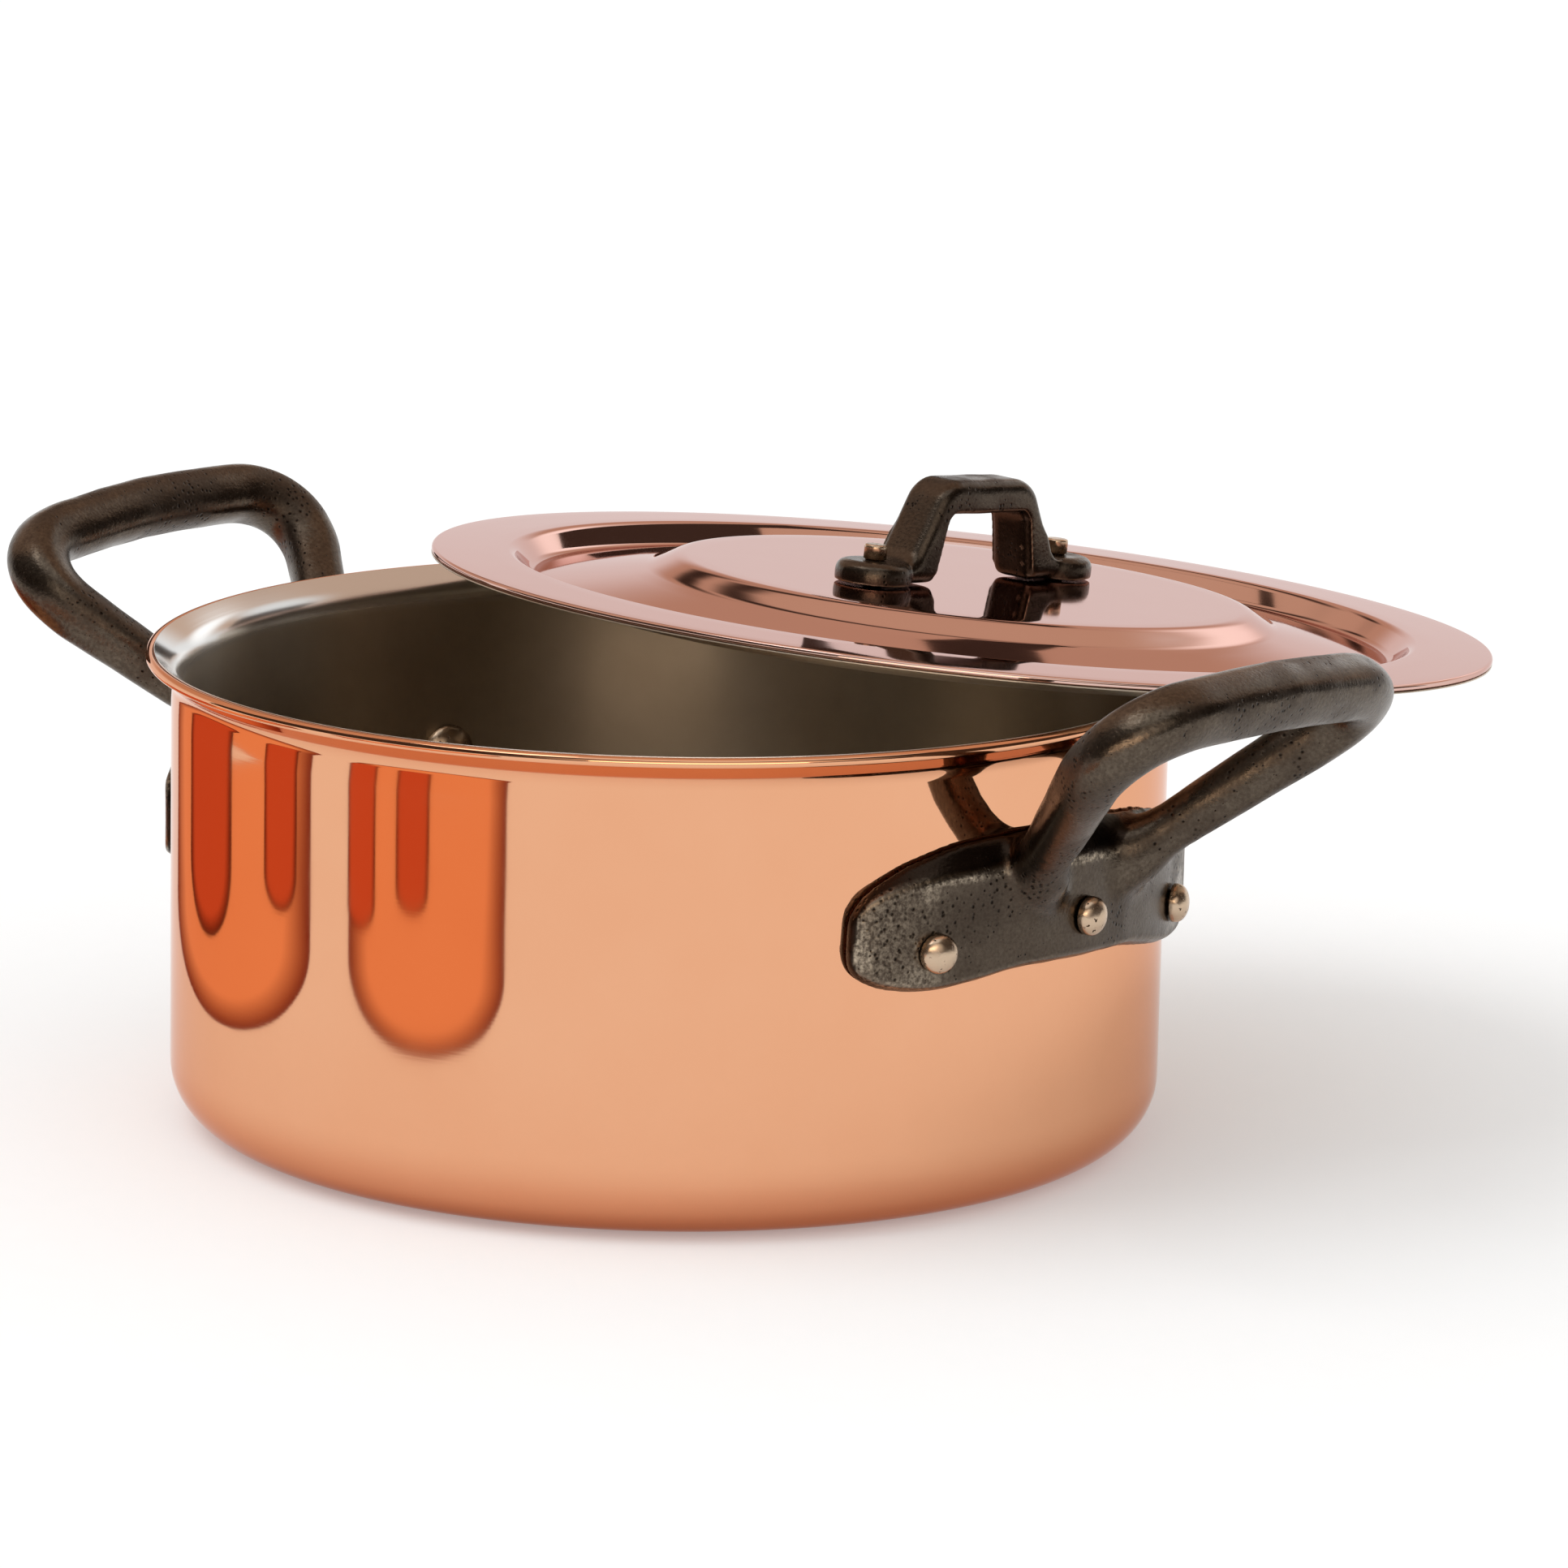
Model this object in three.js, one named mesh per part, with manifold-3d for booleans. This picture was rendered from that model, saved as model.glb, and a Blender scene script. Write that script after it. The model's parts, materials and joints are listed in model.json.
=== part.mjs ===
// Copper casserole: a lined copper pot with two riveted iron handles, and its lid lying askew on the lip.
// Millimetres, +Z up. The origin is the centre of the underside, and +X points along the right handle.
import * as THREE from 'three';
import { mergeVertices } from 'three/addons/utils/BufferGeometryUtils.js';
import Module from 'manifold-3d';

const wasm = await Module();
wasm.setup();
const { Manifold, Mesh } = wasm;
const degrees = Math.PI / 180;

// Fits
const seatGap = 0.3; // between pieces that touch
const shankClearance = 0.3; // around a rivet's shank
const drillOverrun = 10; // of a rivet hole's drill past the pieces that it goes through

// Pot
const potRadius = 102; // outside of the copper wall
const potHeight = 98; // to the top of the lip
const potCopper = 1.9;
const potSteel = 0.3;
const baseCornerRadius = 12;
const lipOverhang = 5.7; // beyond the outside of the wall
const lipBendRadius = 4;
const lipAngle = 55 * degrees; // away from the wall

// Side handles: the plate, measured along the wall and up from its middle line
const plateBelowLip = 38; // from the top of the lip down to the plate's middle line
const plateHalfLength = 55.2;
const plateRise = 19;
const plateDrop = 13.6; // of the lobes at its ends
const plateThickness = 4.5;
const plateEdge = 2; // thickness left at the rounded edge
const plateTopBevel = 7.5; // in the middle, narrowing towards the tips
const plateLowBevel = 1.6;
const plateArch = 3.8; // of the lower edge's middle over its lobes
const plateArchFlat = 12; // from the middle to where the arch starts to drop
const plateArchFoot = 44;
const plateTopPower = 2.05; // of the superellipse that rounds the upper edge's ends
const plateLowPower = 5;
const plateThinHeight = 18.8; // sections lower than this thin out towards the tip
const plateTipCut = 0.06; // left off each tip, so that the last section isn't a point
const handleCant = -2.3 * degrees; // both handles are riveted on slightly turned

// Side handles: the loop, in a plane that rises away from the wall
const loopRise = 42.5 * degrees;
const loopRootRise = 9; // of the leg roots over the plate's middle line
const loopRootSpread = 15.3;
const loopLength = 56.3;
const loopBarSpread = 47.8;
const loopBow = 3.8;
const loopCornerRadius = 14;
const loopBowRadius = 150;
const legRadius = 5;
const barRadius = 6;
const rootFlare = 2.2;
const rootFlareLength = 11;

// Side handle rivets
const rivetPitch = 38; // along the wall
const rivetMidDrop = 0.8; // under the plate's middle line
const rivetEndDrop = 4.4;
const rivetShankRadius = 2.7;
const rivetHeadRadius = 3.7;
const rivetHeadSide = 0.9;
const rivetHeadDome = 2.4;
const rivetInsideRadius = 5.9;
const rivetInsideDome = 2.6;

// Lid, heights measured from the rim of its top face
const lidOverhang = 4; // beyond the lip
const lidCopper = 1.1;
const lidSteel = 0.3;
const registerClearance = 5; // between the register step and the pot's inside
const registerSlope = 4;
const flangeCrown = 0.4;
const gutterDepth = 4.4;
const gutterClimb = 4.4; // from the foot of the register step to the foot of the bank
const plateauRadius = 60;
const plateauBank = 6;
const plateauHeight = 3.2;
const plateauFillet = 6;
const registerFillet = 2.5;

// How the lid lies
const lidShift = 71.2;
const lidShiftAzimuth = 71 * degrees;
const lidTilt = 5.65 * degrees;
const lidTiltAzimuth = 71.6 * degrees;
const lidTurn = 86 * degrees;

// Lid handle, in the plane of its bridge
const footPitch = 29; // from the middle to a rivet
const footRadius = 8;
const footThickness = 4.6;
const footBevel = 1.4;
const bridgeHeight = 21.5;
const bridgeTopHalf = 13.5;
const bridgeFootHalf = 22.5;
const bridgeCorner = 6;
const bridgeFootFillet = 4;
const barThickness = 6.5;
const openingTopHalf = 11;
const openingFootHalf = 15;
const openingCorner = 2.5;
const openingFootFillet = 1.5;
const strapWidth = 11;
const strapBevel = 1.2;

// Lid rivets
const lidRivetShank = 2;
const lidRivetStubRadius = 2.4;
const lidRivetStub = 3;
const lidRivetDome = 0.5;
const lidRivetHeadRadius = 4.5;
const lidRivetHead = 1.5;

// Facets
const turnSegments = 52;
const chordError = 0.2; // of the short straights that stand for an arc
const loopStations = 38;
const loopSides = 10;
const plateStations = 28;
const rivetSides = 10;
const footSides = 20;
const weldDistance = 1e-4;
const shortEdge = 0.02; // edges up to this length are closed up after a cut
const edgeSamples = 6; // points tried on each facet edge that the lid may lie on
const settlePasses = 8;

function toSolid(geometry) {
  const bare = geometry.clone();
  bare.deleteAttribute('normal');
  bare.deleteAttribute('uv');
  const merged = mergeVertices(bare, weldDistance);
  const kept = [];
  const index = merged.index.array;
  for (let i = 0; i < index.length; i += 3) {
    const [a, b, c] = [index[i], index[i + 1], index[i + 2]];
    if (a !== b && b !== c && c !== a) kept.push(a, b, c);
  }
  return new Manifold(new Mesh({
    numProp: 3,
    vertProperties: new Float32Array(merged.attributes.position.array),
    triVerts: new Uint32Array(kept),
  }));
}

function toGeometry(solid) {
  const mesh = solid.simplify(shortEdge).getMesh();
  const geometry = new THREE.BufferGeometry();
  geometry.setAttribute('position', new THREE.BufferAttribute(mesh.vertProperties, 3));
  geometry.setIndex(new THREE.BufferAttribute(mesh.triVerts, 1));
  geometry.computeVertexNormals();
  return geometry;
}

// A run of straight stretches with rounded corners, moved sideways by offset (to the left is positive).
function filletPath(corners, offset = 0) {
  const points = [];
  const at = ([x, y]) => new THREE.Vector2(x, y);
  const left = (v) => new THREE.Vector2(-v.y, v.x);
  const heading = (i) => at(corners[i + 1]).sub(at(corners[i])).normalize();
  points.push(at(corners[0]).addScaledVector(left(heading(0)), offset));
  for (let i = 1; i < corners.length - 1; i += 1) {
    const into = heading(i - 1);
    const turn = Math.atan2(into.cross(heading(i)), into.dot(heading(i)));
    const side = Math.sign(turn);
    const radius = corners[i][2];
    const start = at(corners[i]).addScaledVector(into, -radius * Math.tan(Math.abs(turn) / 2));
    const centre = start.clone().addScaledVector(left(into), side * radius);
    const spoke = left(into).multiplyScalar(offset - side * radius);
    const steps = Math.ceil(Math.abs(turn) / (2 * Math.acos(1 - chordError / radius)));
    for (let k = 0; k <= steps; k += 1) {
      points.push(spoke.clone().rotateAround(new THREE.Vector2(), (turn * k) / steps).add(centre));
    }
  }
  const last = corners.length - 1;
  points.push(at(corners[last]).addScaledVector(left(heading(last - 1)), offset));
  return points;
}

// A solid of revolution about Z from a closed profile of (radius, height) points.
function lathe(profile, segments = turnSegments) {
  return new THREE.LatheGeometry(profile, segments).rotateX(Math.PI / 2);
}

// A closed skin over rings that all have the same number of points.
function loft(rings) {
  const count = rings[0].length;
  const points = rings.flat();
  const index = [];
  for (let i = 0; i < rings.length - 1; i += 1) {
    for (let j = 0; j < count; j += 1) {
      const a = i * count + j;
      const b = i * count + ((j + 1) % count);
      index.push(a, b, b + count, a, b + count, a + count);
    }
  }
  for (const [ring, start, flip] of [[rings[0], 0, true], [rings.at(-1), points.length - count, false]]) {
    const hub = points.length;
    points.push(ring.reduce((sum, p) => sum.add(p), new THREE.Vector3()).divideScalar(count));
    for (let j = 0; j < count; j += 1) {
      const pair = [start + j, start + ((j + 1) % count)];
      index.push(...(flip ? pair.reverse() : pair), hub);
    }
  }
  const geometry = new THREE.BufferGeometry().setFromPoints(points);
  geometry.setIndex(index);
  return geometry;
}

// A rivet along +Z from the dome of its lower head to the top of its upper one.
function rivet({ lower, lowerDome, shank, upper, upperSide, upperDome, from, to }) {
  const profile = [];
  const quarter = [0, 45 * degrees, 90 * degrees];
  for (const a of quarter) profile.push([lower * Math.sin(a), from - lowerDome * Math.cos(a)]);
  profile.push([shank, from], [shank, to], [upper, to]);
  for (const a of quarter) profile.push([upper * Math.cos(a), to + upperSide + upperDome * Math.sin(a)]);
  return lathe(profile.map(([r, z]) => new THREE.Vector2(Math.max(r, 0), z)), rivetSides);
}

// Pot: two skins of one wall, both offset from the outside of the copper.
const potWall = potCopper + seatGap + potSteel;
const lipRadius = potRadius + lipOverhang;
const lipRun = lipOverhang / Math.tan(lipAngle);
const lipRootHeight = potHeight - lipRun - potWall * Math.sin(lipAngle);
const potCorners = [
  [0, 0],
  [potRadius, 0, baseCornerRadius],
  [potRadius, lipRootHeight, lipBendRadius],
  [lipRadius, lipRootHeight + lipRun],
];

function potSkin(outer, inner) {
  return toSolid(lathe([...filletPath(potCorners, outer), ...filletPath(potCorners, inner).reverse()]));
}

// Places on the wall: along it and up from the plate's middle line, with the handle's cant.
const plateMidHeight = potHeight - plateBelowLip;

function onWall(along, up, radius) {
  const turned = new THREE.Vector2(along, up).rotateAround(new THREE.Vector2(), handleCant);
  const angle = turned.x / potRadius;
  return new THREE.Vector3(
    radius * Math.cos(angle),
    radius * Math.sin(angle),
    plateMidHeight + turned.y,
  );
}

const plateBack = potRadius + seatGap;
const plateCore = plateBack + plateThickness / 2;
const plateFront = plateBack + plateThickness;

// The plate is drawn flat as sections across its length, and each is laid on the wall.
function handlePlate() {
  const swell = (x, power) => (1 - Math.abs(x) ** power) ** (1 / power);
  const rings = [];
  for (let i = 0; i <= plateStations; i += 1) {
    const along = (plateHalfLength - plateTipCut) * Math.sin((i / plateStations - 0.5) * Math.PI);
    const x = along / plateHalfLength;
    const arch = plateArch * (1 - THREE.MathUtils.smoothstep(Math.abs(along), plateArchFlat, plateArchFoot));
    const high = plateRise * swell(x, plateTopPower);
    const low = (arch - plateDrop) * swell(x, plateLowPower);
    const fullness = Math.min(1, (high - low) / plateThinHeight);
    const edge = plateBack + plateEdge;
    const front = edge + (plateThickness - plateEdge) * fullness;
    rings.push([
      onWall(along, high, plateBack),
      onWall(along, high, edge),
      onWall(along, high - plateTopBevel * (1 - x * x) * fullness, front),
      onWall(along, low + plateLowBevel * fullness, front),
      onWall(along, low, edge),
      onWall(along, low, plateBack),
    ]);
  }
  return toSolid(loft(rings));
}

// The loop tapers from a fat bar to slimmer legs that swell again where they meet the plate.
function handleLoop() {
  const half = [
    [0, loopRootSpread],
    [loopLength, loopBarSpread, loopCornerRadius],
  ];
  const corners = [
    ...half,
    [loopLength + loopBow, 0, loopBowRadius],
    ...half.map(([u, v, r]) => [u, -v, r]).reverse(),
  ];
  const path = new THREE.Path(filletPath(corners));
  const total = path.getLength();
  const outward = new THREE.Vector3(Math.cos(loopRise), 0, Math.sin(loopRise));
  const normal = new THREE.Vector3(-Math.sin(loopRise), 0, Math.cos(loopRise));
  const across = new THREE.Vector3(0, 1, 0);
  const root = new THREE.Vector3(plateCore, 0, loopRootRise);
  const rings = [];
  for (let i = 0; i <= loopStations; i += 1) {
    const t = i / loopStations;
    const spot = path.getPointAt(t);
    const tangent = path.getTangentAt(t);
    const side = outward.clone().multiplyScalar(-tangent.y).addScaledVector(across, tangent.x);
    const centre = root.clone().addScaledVector(outward, spot.x).addScaledVector(across, spot.y);
    const fromRoot = Math.min(t, 1 - t) * total;
    const fat = THREE.MathUtils.smoothstep(spot.x, 0, loopLength);
    const flare = 1 - THREE.MathUtils.smoothstep(fromRoot, 0, rootFlareLength);
    const radius = THREE.MathUtils.lerp(legRadius, barRadius, fat) + rootFlare * flare;
    const ring = [];
    for (let k = 0; k < loopSides; k += 1) {
      const a = ((k + 0.5) / loopSides) * 2 * Math.PI;
      const spoke = side.clone().multiplyScalar(Math.cos(a)).addScaledVector(normal, Math.sin(a));
      const point = centre.clone().addScaledVector(spoke, radius);
      point.applyAxisAngle(new THREE.Vector3(1, 0, 0), handleCant);
      ring.push(point.add(new THREE.Vector3(0, 0, plateMidHeight)));
    }
    rings.push(ring);
  }
  return toSolid(loft(rings));
}

// Where the three rivets of a handle go through: an angle round the pot and a height.
const rivetPlaces = [
  [-rivetPitch, -rivetEndDrop],
  [0, -rivetMidDrop],
  [rivetPitch, -rivetEndDrop],
].map(([along, up]) => {
  const spot = onWall(along, up, potRadius);
  return { angle: Math.atan2(spot.y, spot.x), height: spot.z };
});

// Turns a piece drawn along +Z so that it lies along the pot's radius at a rivet.
function atRivet({ angle, height }) {
  return new THREE.Matrix4()
    .makeTranslation(0, 0, height)
    .multiply(new THREE.Matrix4().makeRotationZ(angle))
    .multiply(new THREE.Matrix4().makeRotationY(Math.PI / 2));
}

const holeRadius = rivetShankRadius + shankClearance;
const holeStart = potRadius - potWall - drillOverrun;
const holeLength = plateFront + drillOverrun - holeStart;
const rivetHoles = Manifold.union(rivetPlaces.map((place) => {
  const drill = new THREE.CylinderGeometry(holeRadius, holeRadius, holeLength, rivetSides);
  drill.rotateX(Math.PI / 2).translate(0, 0, holeStart + holeLength / 2);
  return toSolid(drill.applyMatrix4(atRivet(place)));
}));
const allHoles = rivetHoles.add(rivetHoles.rotate([0, 0, 180]));

const potBody = potSkin(0, potCopper).subtract(allHoles);
const potLining = potSkin(potCopper + seatGap, potWall).subtract(allHoles);

// The legs end inside the plate.
const legEnd = toSolid(lathe([
  new THREE.Vector2(0, 0),
  new THREE.Vector2(plateCore, 0),
  new THREE.Vector2(plateCore, potHeight),
  new THREE.Vector2(0, potHeight),
]));
const sideHandle = handlePlate().add(handleLoop().subtract(legEnd)).subtract(rivetHoles);

const sideRivet = rivet({
  lower: rivetInsideRadius,
  lowerDome: rivetInsideDome,
  shank: rivetShankRadius,
  upper: rivetHeadRadius,
  upperSide: rivetHeadSide,
  upperDome: rivetHeadDome,
  from: Math.sqrt((potRadius - potWall) ** 2 - rivetInsideRadius ** 2) - seatGap,
  to: plateFront + seatGap,
});

// Lid: a plateau, a bank down to the gutter, and the register step up to the flange.
const lidRadius = lipRadius + lidOverhang;
const lidWall = lidCopper + seatGap + lidSteel;
const registerRadius = potRadius - potWall - registerClearance;
const lidCorners = [
  [0, plateauHeight],
  [plateauRadius, plateauHeight, plateauFillet],
  [plateauRadius + plateauBank, gutterClimb - gutterDepth, plateauFillet],
  [registerRadius - registerSlope, -gutterDepth, registerFillet],
  [registerRadius, flangeCrown, registerFillet],
  [lidRadius, 0],
];
const lidRivetHoles = Manifold.union([-footPitch, footPitch].map((x) => {
  const radius = lidRivetShank + shankClearance;
  const length = 2 * (plateauHeight + footThickness + drillOverrun);
  const drill = new THREE.CylinderGeometry(radius, radius, length, rivetSides);
  return toSolid(drill.rotateX(Math.PI / 2).translate(x, 0, 0));
}));

function lidSkin(upper, lower) {
  const profile = [...filletPath(lidCorners, -lower), ...filletPath(lidCorners, -upper).reverse()];
  return toSolid(lathe(profile)).subtract(lidRivetHoles);
}

// Lid handle: a cast bridge with a round foot at each end, standing on z = 0.
function bridgeHandle() {
  const over = filletPath([
    [-footPitch, footThickness],
    [-bridgeFootHalf, footThickness, bridgeFootFillet],
    [-bridgeTopHalf, bridgeHeight, bridgeCorner],
    [bridgeTopHalf, bridgeHeight, bridgeCorner],
    [bridgeFootHalf, footThickness, bridgeFootFillet],
    [footPitch, footThickness],
  ]);
  const under = filletPath([
    [footPitch, 0],
    [openingFootHalf, 0, openingFootFillet],
    [openingTopHalf, bridgeHeight - barThickness, openingCorner],
    [-openingTopHalf, bridgeHeight - barThickness, openingCorner],
    [-openingFootHalf, 0, openingFootFillet],
    [-footPitch, 0],
  ]);
  const strap = new THREE.ExtrudeGeometry(new THREE.Shape([...over, ...under]), {
    depth: strapWidth - 2 * strapBevel,
    bevelSize: strapBevel,
    bevelOffset: -strapBevel,
    bevelThickness: strapBevel,
    bevelSegments: 1,
  });
  strap.translate(0, 0, strapBevel - strapWidth / 2).rotateX(Math.PI / 2);
  const foot = lathe([
    new THREE.Vector2(0, 0),
    new THREE.Vector2(footRadius, 0),
    new THREE.Vector2(footRadius, footThickness - footBevel),
    new THREE.Vector2(footRadius - footBevel, footThickness),
    new THREE.Vector2(0, footThickness),
  ], footSides);
  const feet = [-footPitch, footPitch].map((x) => toSolid(foot.clone().translate(x, 0, 0)));
  return Manifold.union([toSolid(strap), ...feet]).subtract(lidRivetHoles);
}

const lidRivet = rivet({
  lower: lidRivetHeadRadius,
  lowerDome: lidRivetHead,
  shank: lidRivetShank,
  upper: lidRivetStubRadius,
  upperSide: lidRivetStub - lidRivetDome,
  upperDome: lidRivetDome,
  from: plateauHeight - lidWall - seatGap,
  to: plateauHeight + footThickness + 2 * seatGap,
});

// Points along the edges of every facet of a node, in the pot's frame.
function edgePoints(node) {
  const points = node.children.flatMap(edgePoints);
  if (!node.geometry) return points;
  const { index, attributes: { position } } = node.geometry;
  const corner = (i) => new THREE.Vector3().fromBufferAttribute(position, index.getX(i));
  for (let i = 0; i < index.count; i += 1) {
    const from = corner(i).applyMatrix4(node.matrixWorld);
    const to = corner(i % 3 < 2 ? i + 1 : i - 2).applyMatrix4(node.matrixWorld);
    for (let k = 0; k < edgeSamples; k += 1) points.push(from.clone().lerp(to, k / edgeSamples));
  }
  return points;
}

// The height at which the tilted lid, lowered from above, stops one seat gap over what it lies on.
function settledHeight(lid, supports) {
  const under = filletPath(lidCorners, -lidWall);
  const underside = (radius) => {
    const next = under.findIndex((p) => p.x >= radius);
    if (next < 1) return under.at(next).y;
    const share = (radius - under[next - 1].x) / (under[next].x - under[next - 1].x);
    return THREE.MathUtils.lerp(under[next - 1].y, under[next].y, share);
  };
  const level = lid.quaternion.clone().invert();
  let height = potHeight;
  for (let pass = 0; pass < settlePasses; pass += 1) {
    let rise = -Infinity;
    for (const support of supports) {
      const spot = support.clone().sub(lid.position).setZ(support.z - height).applyQuaternion(level);
      const radius = Math.hypot(spot.x, spot.y);
      if (radius < lidRadius + seatGap) rise = Math.max(rise, spot.z - underside(radius) + seatGap);
    }
    height += rise / Math.cos(lidTilt);
  }
  return height;
}

const copper = () => new THREE.MeshStandardMaterial({ color: '#e8a27c', roughness: 0.12, metalness: 1 });
const lidPink = () => new THREE.MeshStandardMaterial({ color: '#dba896', roughness: 0.12, metalness: 1 });
const steel = () => new THREE.MeshStandardMaterial({ color: '#aaa49a', roughness: 0.3, metalness: 1 });
const iron = () => new THREE.MeshStandardMaterial({ color: '#3f3a34', roughness: 0.5, metalness: 0.8 });
const rivetSteel = () => new THREE.MeshStandardMaterial({ color: '#b5a797', roughness: 0.35, metalness: 1 });

function piece(name, geometry, material) {
  const mesh = new THREE.Mesh(geometry, material);
  mesh.name = name;
  return mesh;
}

const casserole = new THREE.Group();
casserole.add(piece('pot_body', toGeometry(potBody), copper()));
casserole.add(piece('pot_lining', toGeometry(potLining), steel()));

for (const [side, turn] of [['right', 0], ['left', Math.PI]]) {
  const mount = new THREE.Group();
  mount.rotation.z = turn;
  mount.add(piece(`side_handle_${side}`, toGeometry(sideHandle), iron()));
  rivetPlaces.forEach((place, i) => {
    const mesh = piece(`${side}_handle_rivet_${i + 1}`, sideRivet, rivetSteel());
    mesh.applyMatrix4(atRivet(place));
    mount.add(mesh);
  });
  casserole.add(mount);
}

const lid = new THREE.Group();
const leanAxis = new THREE.Vector3(-Math.sin(lidTiltAzimuth), Math.cos(lidTiltAzimuth), 0);
lid.quaternion.setFromAxisAngle(leanAxis, lidTilt);
lid.position.set(lidShift * Math.cos(lidShiftAzimuth), lidShift * Math.sin(lidShiftAzimuth), 0);
casserole.updateMatrixWorld(true);
lid.position.z = settledHeight(lid, casserole.children.flatMap(edgePoints));

const top = new THREE.Group();
top.rotation.z = lidTurn;
top.add(piece('lid_plate', toGeometry(lidSkin(0, lidCopper)), lidPink()));
top.add(piece('lid_lining', toGeometry(lidSkin(lidCopper + seatGap, lidWall)), steel()));
const bridge = piece('lid_handle', toGeometry(bridgeHandle()), iron());
bridge.position.z = plateauHeight + seatGap;
top.add(bridge);
[-footPitch, footPitch].forEach((x, i) => {
  const mesh = piece(`lid_rivet_${i + 1}`, lidRivet, rivetSteel());
  mesh.position.x = x;
  top.add(mesh);
});
lid.add(top);
casserole.add(lid);

export default casserole;
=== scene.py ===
# %% [markdown]
# # A copper casserole in Blender
#
# The casserole is a copper pot with a steel lining, two cast-iron loop handles held by three rivets each,
# and a copper lid with a small iron bridge for a handle. The lid lies askew on the lip.
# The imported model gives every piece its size, place and body. Its solids are faceted, which a mirror polish
# would show at once, so this lesson models each piece again with smooth turned and cast surfaces,
# and gives each metal the finish that its maker left on it.

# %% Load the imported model
import json
import math

import bmesh
import bpy
from mathutils import Matrix, Vector, noise


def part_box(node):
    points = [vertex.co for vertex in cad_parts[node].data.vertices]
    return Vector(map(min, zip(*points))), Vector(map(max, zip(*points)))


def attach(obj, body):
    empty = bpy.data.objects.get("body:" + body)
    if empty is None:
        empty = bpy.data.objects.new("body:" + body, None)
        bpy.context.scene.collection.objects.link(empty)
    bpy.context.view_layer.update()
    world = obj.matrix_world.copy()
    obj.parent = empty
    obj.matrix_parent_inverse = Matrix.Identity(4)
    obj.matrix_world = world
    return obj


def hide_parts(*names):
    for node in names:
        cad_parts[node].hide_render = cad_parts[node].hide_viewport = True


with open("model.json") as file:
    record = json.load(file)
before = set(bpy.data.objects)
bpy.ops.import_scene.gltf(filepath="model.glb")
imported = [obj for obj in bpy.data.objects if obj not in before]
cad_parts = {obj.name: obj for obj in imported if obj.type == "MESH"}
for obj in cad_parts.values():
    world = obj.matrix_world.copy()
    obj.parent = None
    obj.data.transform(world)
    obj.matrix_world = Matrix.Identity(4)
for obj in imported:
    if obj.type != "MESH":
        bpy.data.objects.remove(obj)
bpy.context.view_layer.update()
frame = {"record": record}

# %% [markdown]
# Every outline below is in millimetres, as on a workshop drawing, and is scaled to metres once, when its
# piece is finished. A colour is written as the sRGB hex value that a colour picker shows, and Blender's
# shaders want linear light, so one function turns the one into the other.

# %% Units and colour
MM = 0.001


def linear(hex_colour):
    channels = [int(hex_colour[i:i + 2], 16) / 255 for i in (1, 3, 5)]
    return [c / 12.92 if c <= 0.04045 else ((c + 0.055) / 1.055) ** 2.4 for c in channels] + [1.0]


print("mid grey in linear light:", [round(c, 3) for c in linear("#808080")])

# %% [markdown]
# A material is a small graph of nodes. One function adds a node: it sets the node's own properties, fills
# its sockets with plain values, links the sockets that are given another node's output, and hands back one
# output. Some nodes have several sockets of the same name, so a socket is found by its identifier. All kinds
# of node here start with ShaderNode, so the function puts that word in front.

# %% Adding a node


def add(tree, kind, output, sockets=None, **settings):
    node = tree.nodes.new("ShaderNode" + kind)
    for name, value in settings.items():
        setattr(node, name, value)
    inputs = {socket.identifier: socket for socket in node.inputs}
    for name, value in (sockets or {}).items():
        if isinstance(value, bpy.types.NodeSocket):
            tree.links.new(value, inputs[name])
        else:
            inputs[name].default_value = value
    return next((socket for socket in node.outputs if socket.identifier == output), None)


def new_material(name):
    material = bpy.data.materials.new(name)
    material.use_nodes = True
    material.node_tree.nodes.clear()
    return material, material.node_tree


print("each material reads its piece's own Object coordinates")

# %% [markdown]
# The lid lies pushed to the back and tilted, so anything drawn for it level at the origin has to be carried
# there. The shift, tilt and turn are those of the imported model, and the height is read from its lid: the
# rim's highest point stands above the lid's centre by the radius times the sine of the tilt.

# %% Where the lid lies
LID_RADIUS = 111.6
LID_SHIFT = 71.2
LID_SHIFT_AZIMUTH = math.radians(71)
LID_TILT = math.radians(5.65)
LID_TILT_AZIMUTH = math.radians(71.6)
LID_TURN = math.radians(86)

lean_axis = Vector((-math.sin(LID_TILT_AZIMUTH), math.cos(LID_TILT_AZIMUTH), 0))
lid_centre = Vector((
    LID_SHIFT * math.cos(LID_SHIFT_AZIMUTH),
    LID_SHIFT * math.sin(LID_SHIFT_AZIMUTH),
    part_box("lid_plate")[1].z / MM - LID_RADIUS * math.sin(LID_TILT),
))
lid_place = (
    Matrix.Translation(lid_centre)
    @ Matrix.Rotation(LID_TILT, 4, lean_axis)
    @ Matrix.Rotation(LID_TURN, 4, "Z")
)
print("lid centre in mm:", [round(c, 2) for c in lid_centre])

# %% [markdown]
# Spun and turned metal keeps fine rings from the tool or the polishing wheel. A pattern of rings needs two
# numbers at each point: how far it is from the axis and how high it is. Noise that changes quickly with both
# of these, and not at all round the axis, looks like turning marks on walls and on flat bottoms alike.
# On the tilted lid a Mapping node first brings the pattern into line with the lid's own axis.

# %% Turning marks


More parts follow.
